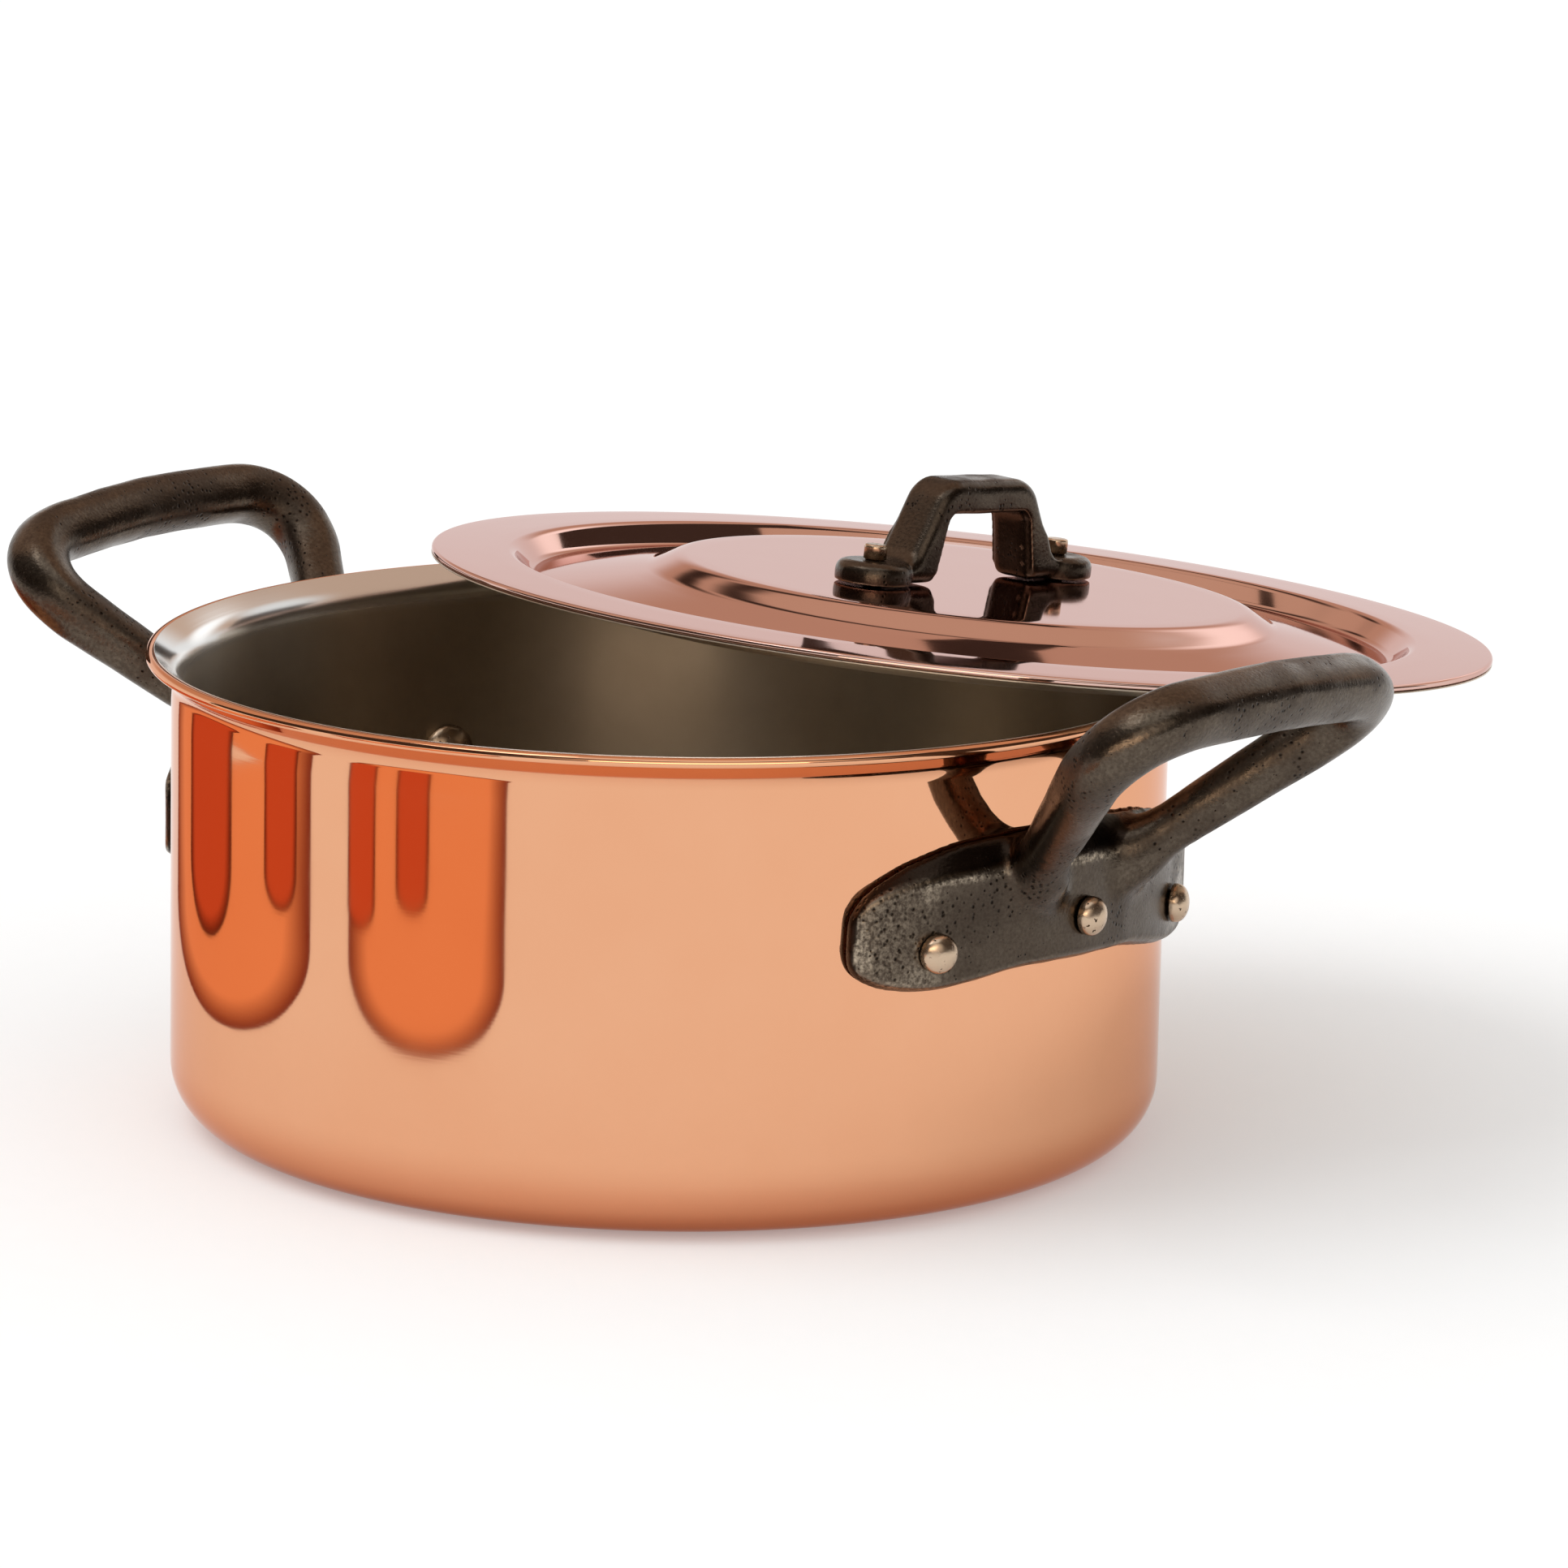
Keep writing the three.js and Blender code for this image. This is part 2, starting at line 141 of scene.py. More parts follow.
def turned_place(tree, axis_place=None):
    place = add(tree, "TexCoord", "Object")
    if axis_place is not None:
        place = add(tree, "Mapping", "Vector", {
            "Vector": place, "Location": axis_place.translation * MM, "Rotation": axis_place.to_euler(),
        }, vector_type="TEXTURE")
    flat = add(tree, "VectorMath", "Vector", {
        "Vector": place, "Vector_001": (1, 1, 0),
    }, operation="MULTIPLY")
    radius = add(tree, "VectorMath", "Value", {"Vector": flat}, operation="LENGTH")
    height = add(tree, "SeparateXYZ", "Z", {"Vector": place})
    rings = add(tree, "CombineXYZ", "Vector", {"X": radius, "Y": height})
    return place, rings, height


print("turning marks follow the pot's axis, or the lid's")

# %% [markdown]
# The pot is spun from copper sheet and buffed to a mirror. A mirror has almost no colour of its own but the
# metal's tint, so what makes it look real is small: a faint haze where cloths and hands have been, a slow
# unevenness of the sheet that bends reflections a little, and polishing lines that soften the gloss.
# Real lines are a few hundredths of a millimetre apart, and are drawn at 0.6 mm so that the render can show
# them. The lowest centimetre or two of the body is painted darker: a painted shade for the dark floor at its
# foot, which the wall mirrors. The lid is the same metal, paler and pinker, and gets no such painted shade.
# Copper stays warm where it is seen edge on, so its specular tint is warm.

# %% Mirror-polished copper


def polished_copper(name, tint, haze_tint, base_shade_tint, edge_tint, axis_place=None):
    material, tree = new_material(name)
    place, rings, height = turned_place(tree, axis_place)
    line_spacing = 0.6 * MM
    sheet_wave = 22 * MM
    haze_size = 35 * MM
    base_shade_height = 17 * MM
    haze = add(tree, "TexNoise", "Fac", {"Vector": place, "Scale": 1 / haze_size, "Detail": 4.0})
    buffed = add(tree, "Mix", "Result_Color", {
        "Factor_Float": haze, "A_Color": linear(tint), "B_Color": linear(haze_tint),
    }, data_type="RGBA")
    # Painted shade: the lowest centimetre or two of the body is painted darker, for the dark floor at its
    # foot that the wall mirrors.
    above_base_shade = add(tree, "MapRange", "Result", {
        "Value": height, "From Max": base_shade_height,
    }, interpolation_type="SMOOTHSTEP")
    colour = add(tree, "Mix", "Result_Color", {
        "Factor_Float": above_base_shade, "A_Color": linear(base_shade_tint), "B_Color": buffed,
    }, data_type="RGBA")
    roughness = add(tree, "MapRange", "Result", {
        "Value": haze, "From Min": 0.35, "From Max": 0.75, "To Min": 0.04, "To Max": 0.08,
    })
    lines = add(tree, "TexNoise", "Fac", {"Vector": rings, "Scale": 1 / line_spacing, "Detail": 2.0})
    waves = add(tree, "TexNoise", "Fac", {"Vector": place, "Scale": 1 / sheet_wave, "Detail": 1.0})
    fine = add(tree, "Bump", "Normal", {"Height": lines, "Strength": 0.02, "Distance": 0.05 * MM})
    normal = add(tree, "Bump", "Normal", {
        "Height": waves, "Strength": 0.12, "Distance": 0.25 * MM, "Normal": fine,
    })
    shader = add(tree, "BsdfPrincipled", "BSDF", {
        "Base Color": colour, "Metallic": 1.0, "Roughness": roughness, "Normal": normal,
        "Specular Tint": linear(edge_tint),
    })
    add(tree, "OutputMaterial", None, {"Surface": shader})
    return material


body_copper = polished_copper(
    "spun_copper_buffed_to_a_mirror",
    tint="#e7ad88", haze_tint="#e2a27b", base_shade_tint="#c67b55", edge_tint="#f3dfd6",
)
lid_copper = polished_copper(
    "pressed_copper_buffed_lid",
    tint="#dcb9ae", haze_tint="#d5aea2", base_shade_tint="#dcb9ae", edge_tint="#e6d2cf", axis_place=lid_place,
)
print(body_copper.name, "and", lid_copper.name)

# %% [markdown]
# The lining is stainless steel, bonded to the copper and turned smooth inside. Cooking leaves it satin and
# slightly tea-coloured, while the lip is rubbed bright by the lid and the ladle. One material shows both:
# the height of a point tells whether it is on the lip, and there the steel turns pale and glossy. The lid's
# lining lies far below that height on its own axis, so all of it stays satin.
# Turning marks are about 0.8 mm apart, as a hand-held tool leaves them. Far finer marks run round the wall
# as well and smear what it mirrors up and down, which an anisotropic shader does without drawing them.

# %% Satin steel lining


def satin_steel(name, lip_height, axis_place=None):
    material, tree = new_material(name)
    place, rings, height = turned_place(tree, axis_place)
    mark_spacing = 0.8 * MM
    stain_size = 28 * MM
    satin_below_lip = 9
    bright_below_lip = 5
    bright = add(tree, "MapRange", "Result", {
        "Value": height,
        "From Min": (lip_height - satin_below_lip) * MM,
        "From Max": (lip_height - bright_below_lip) * MM,
    }, interpolation_type="SMOOTHSTEP")
    stain = add(tree, "TexNoise", "Fac", {"Vector": place, "Scale": 1 / stain_size, "Detail": 5.0})
    inside = add(tree, "Mix", "Result_Color", {
        "Factor_Float": stain, "A_Color": linear("#d9cebd"), "B_Color": linear("#ada08d"),
    }, data_type="RGBA")
    colour = add(tree, "Mix", "Result_Color", {
        "Factor_Float": bright, "A_Color": inside, "B_Color": linear("#d9d8d6"),
    }, data_type="RGBA")
    roughness = add(tree, "MapRange", "Result", {"Value": bright, "To Min": 0.36, "To Max": 0.14})
    marks = add(tree, "TexNoise", "Fac", {"Vector": rings, "Scale": 1 / mark_spacing, "Detail": 3.0})
    normal = add(tree, "Bump", "Normal", {"Height": marks, "Strength": 0.12, "Distance": 0.06 * MM})
    round_the_axis = add(tree, "Tangent", "Tangent", direction_type="RADIAL", axis="Z")
    shader = add(tree, "BsdfPrincipled", "BSDF", {
        "Base Color": colour, "Metallic": 1.0, "Roughness": roughness, "Normal": normal,
        "Anisotropic": 0.9, "Anisotropic Rotation": 0.25, "Tangent": round_the_axis,
    })
    add(tree, "OutputMaterial", None, {"Surface": shader})
    return material


POT_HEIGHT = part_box("pot_lining")[1].z / MM
lining_steel = satin_steel("turned_stainless_steel_lining", POT_HEIGHT)
lid_lining_steel = satin_steel("turned_stainless_steel_under_the_lid", POT_HEIGHT, lid_place)
print(lining_steel.name, "on a pot", round(POT_HEIGHT, 2), "mm high")

# %% [markdown]
# The handles are iron cast in sand, waxed and polished by years of hands, so the metal shines dully. Sand
# leaves a grain of about 0.7 mm, and patches of the skin stay rough, with pits over a millimetre apart.
# Noise at those sizes gives the grain and the patches, and a Voronoi pattern gives the pits.

# %% Skin of the sand-cast iron
SAND_GRAIN = 0.7 * MM
PIT_SPACING = 1.3 * MM
PATCH_SIZE = 14 * MM

cast_iron, tree = new_material("sand_cast_iron_waxed")
place = add(tree, "TexCoord", "Object")
grain = add(tree, "TexNoise", "Fac", {"Vector": place, "Scale": 1 / SAND_GRAIN, "Detail": 4.0})
patches = add(tree, "TexNoise", "Fac", {"Vector": place, "Scale": 1 / PATCH_SIZE, "Detail": 6.0})
rough_skin = add(tree, "MapRange", "Result", {
    "Value": patches, "From Min": 0.46, "From Max": 0.6,
}, interpolation_type="SMOOTHSTEP")
pit_distance = add(tree, "TexVoronoi", "Distance", {"Vector": place, "Scale": 1 / PIT_SPACING})
pit_reach = add(tree, "MapRange", "Result", {"Value": rough_skin, "To Min": 0.1, "To Max": 0.42})
pits = add(tree, "MapRange", "Result", {
    "Value": pit_distance, "From Min": 0.04, "From Max": pit_reach,
}, interpolation_type="SMOOTHSTEP")
skin = add(tree, "Mix", "Result_Color", {
    "Factor_Float": patches, "A_Color": linear("#6e6457"), "B_Color": linear("#493d35"),
}, data_type="RGBA")
grained = add(tree, "Mix", "Result_Color", {
    "Factor_Float": grain, "A_Color": linear("#3a3029"), "B_Color": skin,
}, data_type="RGBA")
print(cast_iron.name, "has", len(tree.nodes), "nodes for its skin")

# %% [markdown]
# With use, tips are rubbed bright in speckles of about a millimetre, and the pits hold the blackest soot.
# Ridges are painted bright, partly as wear and partly as a painted highlight, and sheltered slopes get a
# painted shade. Pointiness finds the ridges, because the castings below are dense meshes. The rubbed and
# highlit places and the painted shade of the large handles are painted on their vertices. The colours lie
# over one another: skin, wear and painted highlight, painted shade, and pits.

# %% Wear, painted highlight and painted shade on the iron
SPECKLE_SIZE = 0.9 * MM

# Painted highlight: every ridge is painted bright, partly as wear and partly as a highlight.
ridge = add(tree, "NewGeometry", "Pointiness")
worn_and_highlit_ridge = add(tree, "MapRange", "Result", {
    "Value": ridge, "From Min": 0.51, "From Max": 0.56,
}, interpolation_type="SMOOTHSTEP")
speckle = add(tree, "TexNoise", "Fac", {
    "Vector": place, "Scale": 1 / SPECKLE_SIZE, "Detail": 5.0, "Roughness": 0.65,
})
speckled = add(tree, "MapRange", "Result", {
    "Value": speckle, "From Min": 0.36, "From Max": 0.7,
}, interpolation_type="SMOOTHSTEP")
# The vertex attribute holds the rubbed tips and grip, and the painted highlight of the ridge below the bevel.
rubbed = add(tree, "Attribute", "Fac", attribute_name="rubbed")
uneven_rub = add(tree, "MapRange", "Result", {
    "Value": patches, "From Min": 0.36, "From Max": 0.58, "To Min": 1.6, "To Max": 0.5,
})
rubbed_and_highlit_speckles = add(tree, "Math", "Value", {"Value": rubbed, "Value_001": speckled}, operation="MULTIPLY")
rubbed_and_highlit_spots = add(tree, "Math", "Value", {
    "Value": rubbed_and_highlit_speckles, "Value_001": uneven_rub,
}, operation="MULTIPLY", use_clamp=True)
bright = add(tree, "Math", "Value", {"Value": rubbed_and_highlit_spots, "Value_001": worn_and_highlit_ridge}, operation="MAXIMUM")
worn_and_highlit = add(tree, "Mix", "Result_Color", {
    "Factor_Float": bright, "A_Color": grained, "B_Color": linear("#b5a692"),
}, data_type="RGBA")
# Painted shade from the vertices: the sheltered bevel and the rim by the wall are painted darker.
sooty = add(tree, "Attribute", "Fac", attribute_name="sooty")
with_painted_shade = add(tree, "Mix", "Result_Color", {
    "Factor_Float": sooty, "A_Color": worn_and_highlit, "B_Color": linear("#2a211b"),
}, data_type="RGBA")
pitted = add(tree, "Mix", "Result_Color", {
    "Factor_Float": pits, "A_Color": linear("#17110d"), "B_Color": with_painted_shade,
}, data_type="RGBA")
roughness = add(tree, "MapRange", "Result", {"Value": rough_skin, "To Min": 0.26, "To Max": 0.42})
sandy = add(tree, "Bump", "Normal", {"Height": grain, "Strength": 0.3, "Distance": 0.2 * MM})
normal = add(tree, "Bump", "Normal", {
    "Height": pits, "Strength": 0.5, "Distance": 0.25 * MM, "Normal": sandy,
})
shader = add(tree, "BsdfPrincipled", "BSDF", {
    "Base Color": pitted, "Metallic": 1.0, "Roughness": roughness, "Normal": normal,
})
add(tree, "OutputMaterial", None, {"Surface": shader})
print(cast_iron.name, "has", len(tree.nodes), "nodes in all")

# %% [markdown]
# A rivet's head is hammered round over the plate. The hammer leaves flats a millimetre or two across, with
# a few sharp pits, on steel that is rubbed to a satin sheen and browns a little in the hollows.

# %% Peened rivet steel
HAMMER_FLAT = 1.8 * MM
PIT_SIZE = 1.2 * MM

rivet_steel, tree = new_material("peened_steel_rivet")
place = add(tree, "TexCoord", "Object")
flats = add(tree, "TexVoronoi", "Distance", {"Vector": place, "Scale": 1 / HAMMER_FLAT})
stains = add(tree, "TexNoise", "Fac", {"Vector": place, "Scale": 1 / PIT_SIZE, "Detail": 2.0})
hollow = add(tree, "MapRange", "Result", {
    "Value": stains, "From Min": 0.28, "From Max": 0.36,
}, interpolation_type="SMOOTHSTEP")
colour = add(tree, "Mix", "Result_Color", {
    "Factor_Float": hollow, "A_Color": linear("#3b2c20"), "B_Color": linear("#c9b198"),
}, data_type="RGBA")
roughness = add(tree, "MapRange", "Result", {"Value": hollow, "To Min": 0.55, "To Max": 0.27})
beaten = add(tree, "Bump", "Normal", {"Height": flats, "Strength": 0.3, "Distance": 0.25 * MM})
normal = add(tree, "Bump", "Normal", {
    "Height": hollow, "Strength": 0.35, "Distance": 0.2 * MM, "Normal": beaten,
})
shader = add(tree, "BsdfPrincipled", "BSDF", {
    "Base Color": colour, "Metallic": 1.0, "Roughness": roughness, "Normal": normal,
})
add(tree, "OutputMaterial", None, {"Surface": shader})
print(rivet_steel.name)

# %% [markdown]
# A turned piece starts as a wire: straight stretches between a few corners, each corner bent to a radius as a
# sheet is bent over a former. Bevelling a wire's vertex does just that, and the edges of solid pieces are
# rounded the same way. The wire is then spun once round the axis. Straights are cut into short steps first,
# so that the shading of a bend doesn't leak into the flat metal beside it, which a mirror would show.

# %% Bent wires and turned pieces
ARC_STEP = math.radians(6)
FEWEST_STEPS = 2
LONGEST_STEP = 4.0
WELD = 1e-4
SHEET_TURNS = 192


def round_off(bm, geom, affect, offset, steps):
    bmesh.ops.bevel(bm, geom=geom, offset=offset, affect=affect, segments=steps, profile=0.5, material=-1)


def bent_wire(corners, closed=False):
    bm = bmesh.new()
    spots = [bm.verts.new((across, 0, up)) for across, up, _ in corners]
    following = spots[1:] + spots[:1] if closed else spots[1:]
    for near, far in zip(spots, following):
        bm.edges.new((near, far))
    for i, (across, up, bend) in enumerate(corners):
        if bend:
            here = Vector((across, up))
            into = here - Vector(corners[i - 1][:2])
            out = Vector(corners[(i + 1) % len(corners)][:2]) - here
            turn = into.angle(out)
            steps = max(FEWEST_STEPS, math.ceil(turn / ARC_STEP))
            round_off(bm, [spots[i]], "VERTICES", bend * math.tan(turn / 2), steps)
    for edge in [e for e in bm.edges if e.calc_length() > LONGEST_STEP]:
        bmesh.ops.subdivide_edges(bm, edges=[edge], cuts=int(edge.calc_length() / LONGEST_STEP))
    return bm


def turned(corners, turns):
    bm = bent_wire(corners)
    bmesh.ops.spin(
        bm, geom=bm.verts[:] + bm.edges[:], axis=(0, 0, 1), angle=2 * math.pi, steps=turns, use_merge=True,
    )
    bmesh.ops.remove_doubles(bm, verts=bm.verts, dist=WELD)
    bmesh.ops.recalc_face_normals(bm, faces=bm.faces)
    return bm


print("a bend of 90 degrees gets", math.ceil(math.radians(90) / ARC_STEP), "steps")

# %% [markdown]
# The pot and the lid are each two sheets, copper and steel, that follow the same drawn line at two depths.
# Moving a corner along the mitre of its two straights keeps both sides parallel, and the bend's radius
# grows or shrinks by the depth, as it does in real bent sheet. The cut edge is rounded by two small bends.

# %% Both sides of a sheet
EDGE_ROUNDING = 0.49


def side(corners, depth):
    spots = [Vector(corner[:2]) for corner in corners]
    headings = [(far - near).normalized() for near, far in zip(spots, spots[1:])]
    moved = []
    for i, (spot, corner) in enumerate(zip(spots, corners)):
        into = headings[max(i - 1, 0)]
        out = headings[min(i, len(headings) - 1)]
        mitre = (into.orthogonal() + out.orthogonal()) / (1 + into.dot(out))
        spot = spot + mitre * depth
        bend = corner[2] and corner[2] - math.copysign(depth, into.cross(out) * depth)
        moved.append((spot.x, spot.y, bend))
    return moved


def sheet(corners, near, far):
    there = side(corners, near)
    back = side(corners, far)
    rounding = EDGE_ROUNDING * abs(far - near)
    there[-1] = (*there[-1][:2], rounding)
    back[-1] = (*back[-1][:2], rounding)
    return turned(there + back[::-1], SHEET_TURNS)


print("an edge is rounded by", EDGE_ROUNDING, "of the sheet's thickness on each side")

# %% [markdown]
# Each finished mesh is scaled from millimetres to metres, shaded smooth and made an object at the origin.
# It rides on the body of the imported node that it stands for, which the record names.

# %% Finishing a piece
record = frame["record"]
body_with = {node: body for body, nodes in record["behaviour"]["bodies"].items() for node in nodes}


def make_object(name, bm, material=None):
    mesh = bpy.data.meshes.new(name)
    bm.to_mesh(mesh)
    bm.free()
    mesh.materials.append(material)
    made = bpy.data.objects.new(name, mesh)
    bpy.context.collection.objects.link(made)
    return made


def finish_piece(name, bm, material, node, place=Matrix()):
    bmesh.ops.transform(bm, matrix=Matrix.Scale(MM, 4) @ place, verts=bm.verts)
    for face in bm.faces:
        face.smooth = True
    piece = make_object(name, bm, material)
    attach(piece, body_with[node])
    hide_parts(node)
    print(name, "for", node, "with", len(piece.data.polygons), "faces")


print(len(body_with), "nodes ride on", sorted(set(body_with.values())))

# %% [markdown]
# The body is spun from one disc: a flat base, a corner of 12 mm, an upright wall and a lip that flares
# outwards for pouring. The steel lining follows it inside, is trimmed just short of the copper's rounded
# edge, and shows as a silver band on the lip.

# %% Pot body and lining
POT_RADIUS = 102
BASE_CORNER = 12
LIP_OVERHANG = 5.7
LIP_BEND = 4
LIP_ANGLE = math.radians(55)
COPPER_SHEET = 2.15
STEEL_START = 2.2
POT_WALL = 2.5
LINING_TRIM = 0.8

lip_rise = LIP_OVERHANG / math.tan(LIP_ANGLE)
lip_root = POT_HEIGHT - lip_rise - POT_WALL * math.sin(LIP_ANGLE)
pot_corners = [
    (0, 0, 0),
    (POT_RADIUS, 0, BASE_CORNER),
    (POT_RADIUS, lip_root, LIP_BEND),
    (POT_RADIUS + LIP_OVERHANG, lip_root + lip_rise, 0),
]
finish_piece("copper_body", sheet(pot_corners, 0, COPPER_SHEET), body_copper, "pot_body")
lining_end = (
    POT_RADIUS + LIP_OVERHANG - LINING_TRIM, lip_root + lip_rise - LINING_TRIM / math.tan(LIP_ANGLE), 0,
)
lining = sheet([*pot_corners[:-1], lining_end], STEEL_START, POT_WALL)
finish_piece("steel_lining", lining, lining_steel, "pot_lining")

# %% [markdown]
# The lid is pressed from a thinner disc: a flat plateau in the middle for stiffness, a bank down to a
# shallow gutter, a step that registers inside the pot, and a flat flange that lies on the lip.

# %% Lid plate and its lining
LID_COPPER = 1.35
LID_STEEL_START = 1.4
LID_WALL = 1.7
PLATEAU_RADIUS = 60
PLATEAU_HEIGHT = 3.2
BANK_RUN = 6
BANK_BEND = 6
GUTTER_DEPTH = 4.4
REGISTER_RADIUS = 94.5
REGISTER_RUN = 4
REGISTER_BEND = 2.5
FLANGE_CROWN = 0.4

lid_corners = [
    (0, PLATEAU_HEIGHT, 0),
    (PLATEAU_RADIUS, PLATEAU_HEIGHT, BANK_BEND),
    (PLATEAU_RADIUS + BANK_RUN, 0, BANK_BEND),
    (REGISTER_RADIUS - REGISTER_RUN, -GUTTER_DEPTH, REGISTER_BEND),
    (REGISTER_RADIUS, FLANGE_CROWN, REGISTER_BEND),
    (LID_RADIUS, 0, 0),
]
finish_piece("copper_lid", sheet(lid_corners, 0, -LID_COPPER), lid_copper, "lid_plate", lid_place)
lid_skin = sheet(lid_corners, -LID_STEEL_START, -LID_WALL)
finish_piece("lid_lining_skin", lid_skin, lid_lining_steel, "lid_lining", lid_place)

# %% [markdown]
# Castings have no seams: plate and loop are one pour of iron. Each is modelled roughly as closed shells that
# overlap, and a voxel remesh melts the shells into one skin. A few passes of smoothing round its edges as a
# worn wooden pattern does, and a slow noise gives back the unevenness of a sand mould.

# %% Casting
SOFTENING = 0.5
UNEVENNESS = 0.12
UNEVEN_SIZE = 7


def soften(bm, verts, passes):
    for _ in range(passes):
        bmesh.ops.smooth_vert(
            bm, verts=verts, factor=SOFTENING, use_axis_x=True, use_axis_y=True, use_axis_z=True,
        )


def cast(bm, voxel, smoothing):
    bmesh.ops.recalc_face_normals(bm, faces=bm.faces)
    mould = make_object("mould", bm)
    melt = mould.modifiers.new("melt", "REMESH")
    melt.mode = "VOXEL"
    melt.voxel_size = voxel
    skin = bpy.data.meshes.new_from_object(mould.evaluated_get(bpy.context.evaluated_depsgraph_get()))
    bm = bmesh.new()
    bm.from_mesh(skin)
    bpy.data.meshes.remove(mould.data)
    bpy.data.meshes.remove(skin)
    soften(bm, bm.verts, smoothing)
    bm.normal_update()
    for vert in bm.verts:
        vert.co += vert.normal * UNEVENNESS * noise.noise(vert.co / UNEVEN_SIZE)
    return bm


print("castings are uneven by about", UNEVENNESS, "mm")

# %% [markdown]
# The plate of a side handle is drawn flat and wrapped round the wall. Its upper edge is one long curve, its
# lower edge arches up between two lobes that hold the outer rivets, and a broad bevel runs along the top and
# narrows towards the tips. A grid gives the front, an extrusion gives the back, and one function says where
# a point of the flat drawing goes.

# %% Handle plate
PLATE_BELOW_LIP = 38
PLATE_HALF_LENGTH = 55.2
PLATE_RISE = 19
PLATE_DROP = 13.6
PLATE_ARCH = 3.8
PLATE_ARCH_FLAT = 12
PLATE_ARCH_FOOT = 44
PLATE_THICKNESS = 4.5
PLATE_EDGE = 1.4
PLATE_TOP_BEVEL = 7.5
PLATE_LOW_BEVEL = 1.6
PLATE_LEAST_BEVEL = 0.8
PLATE_TOP_POWER = 2.05
PLATE_LOW_POWER = 5
PLATE_THIN_HEIGHT = 18.8
PLATE_TIP = 0.999
PLATE_COLUMNS = 140
PLATE_ROWS = 44
HANDLE_CANT = math.radians(-2.3)
SEAT_GAP = 0.3

plate_middle = POT_HEIGHT - PLATE_BELOW_LIP
plate_back = POT_RADIUS + SEAT_GAP
plate_core = plate_back + PLATE_THICKNESS / 2
plate_front = plate_back + PLATE_THICKNESS


def on_wall(along, up, radius):
    canted = Matrix.Rotation(HANDLE_CANT, 2) @ Vector((along, up))
    angle = canted.x / POT_RADIUS
    return Vector((radius * math.cos(angle), radius * math.sin(angle), plate_middle + canted.y))


def swell(share, power):
    return (1 - abs(share) ** power) ** (1 / power)


def smooth_step(share):
    share = min(max(share, 0), 1)
    return share * share * (3 - 2 * share)


def plate_outline(share):
    arch_foot = (PLATE_HALF_LENGTH * abs(share) - PLATE_ARCH_FLAT) / (PLATE_ARCH_FOOT - PLATE_ARCH_FLAT)
    high = PLATE_RISE * swell(share, PLATE_TOP_POWER)
    low = (PLATE_ARCH * (1 - smooth_step(arch_foot)) - PLATE_DROP) * swell(share, PLATE_LOW_POWER)
    fullness = min(1, (high - low) / PLATE_THIN_HEIGHT)
    top_bevel = max(PLATE_TOP_BEVEL * (1 - share * share), PLATE_LEAST_BEVEL) * fullness
    return low, high, top_bevel, fullness


def on_plate(share, level):
    share = PLATE_TIP * math.sin(share * math.pi / 2)
    low, high, top_bevel, fullness = plate_outline(share)
    up = low + (high - low) * (level + 1) / 2
    climb = min(1, (high - up) / top_bevel, (up - low) / (PLATE_LOW_BEVEL * fullness))
    return PLATE_HALF_LENGTH * share, up, PLATE_EDGE + (PLATE_THICKNESS - PLATE_EDGE) * fullness * climb


def verts_of(extruded):
    return [item for item in extruded["geom"] if isinstance(item, bmesh.types.BMVert)]


def handle_plate():
    bm = bmesh.new()
    bmesh.ops.create_grid(bm, x_segments=PLATE_COLUMNS, y_segments=PLATE_ROWS, size=1)
    behind = set(verts_of(bmesh.ops.extrude_face_region(bm, geom=bm.faces[:], use_keep_orig=True)))
    for vert in bm.verts:
        along, up, thickness = on_plate(vert.co.x, vert.co.y)
        vert.co = on_wall(along, up, plate_back if vert in behind else plate_back + thickness)
    return bm


print("the plate's middle line is", round(plate_middle, 2), "mm up")

# %% [markdown]
# The loop is a bar bent to a D. It is fattest where the fingers hold it, slims down along the legs and swells
# again where they grow out of the plate. Its section isn't quite round: a blunt ridge runs along the outside,
# where the two halves of the mould met. A bent wire gives the path, a circle is squared a little and laid
# across it at every step, and neighbouring circles are bridged. The legs' ends are pressed flat inside the
# plate, so that nothing of them shows below it.

# %% Handle loop
LOOP_RISE = math.radians(42.5)
LOOP_ROOT_RISE = 9
LOOP_ROOT_SPREAD = 15.3
LOOP_LENGTH = 55.4
LOOP_BAR_SPREAD = 47.8
LOOP_BOW = 3.8
LOOP_CORNER = 14
LOOP_BOW_BEND = 150
LEG_RADIUS = 4.9
BAR_RADIUS = 6.3
ROOT_FLARE = 2.2
ROOT_FLARE_REACH = 9.5
ROOT_DEPTH = 12
LOOP_SIDES = 48
SECTION_POWER = 2.5
SECTION_CORNER = math.radians(45)
SECTION_TURN = math.radians(-25)


def walk(wire):
    path = [next(vert for vert in wire.verts if len(vert.link_edges) == 1)]
    edge = path[0].link_edges[0]
    while edge:
        path.append(edge.other_vert(path[-1]))
        edge = next((e for e in path[-1].link_edges if e is not edge), None)
    return [Vector((vert.co.x, vert.co.z)) for vert in path]


def loop_path():
    splay = (LOOP_BAR_SPREAD - LOOP_ROOT_SPREAD) / LOOP_LENGTH
    half = [
        (-ROOT_DEPTH, LOOP_ROOT_SPREAD - splay * ROOT_DEPTH, 0),
        (LOOP_LENGTH, LOOP_BAR_SPREAD, LOOP_CORNER),
    ]
    other_half = [(out, -across, bend) for out, across, bend in half[::-1]]
    wire = bent_wire([*half, (LOOP_LENGTH + LOOP_BOW, 0, LOOP_BOW_BEND), *other_half])
    path = walk(wire)
    wire.free()
    return path


def press_out(verts, radius):
    for vert in verts:
        reach = vert.co.xy.length
        if reach < radius:
            vert.co.xy *= radius / reach


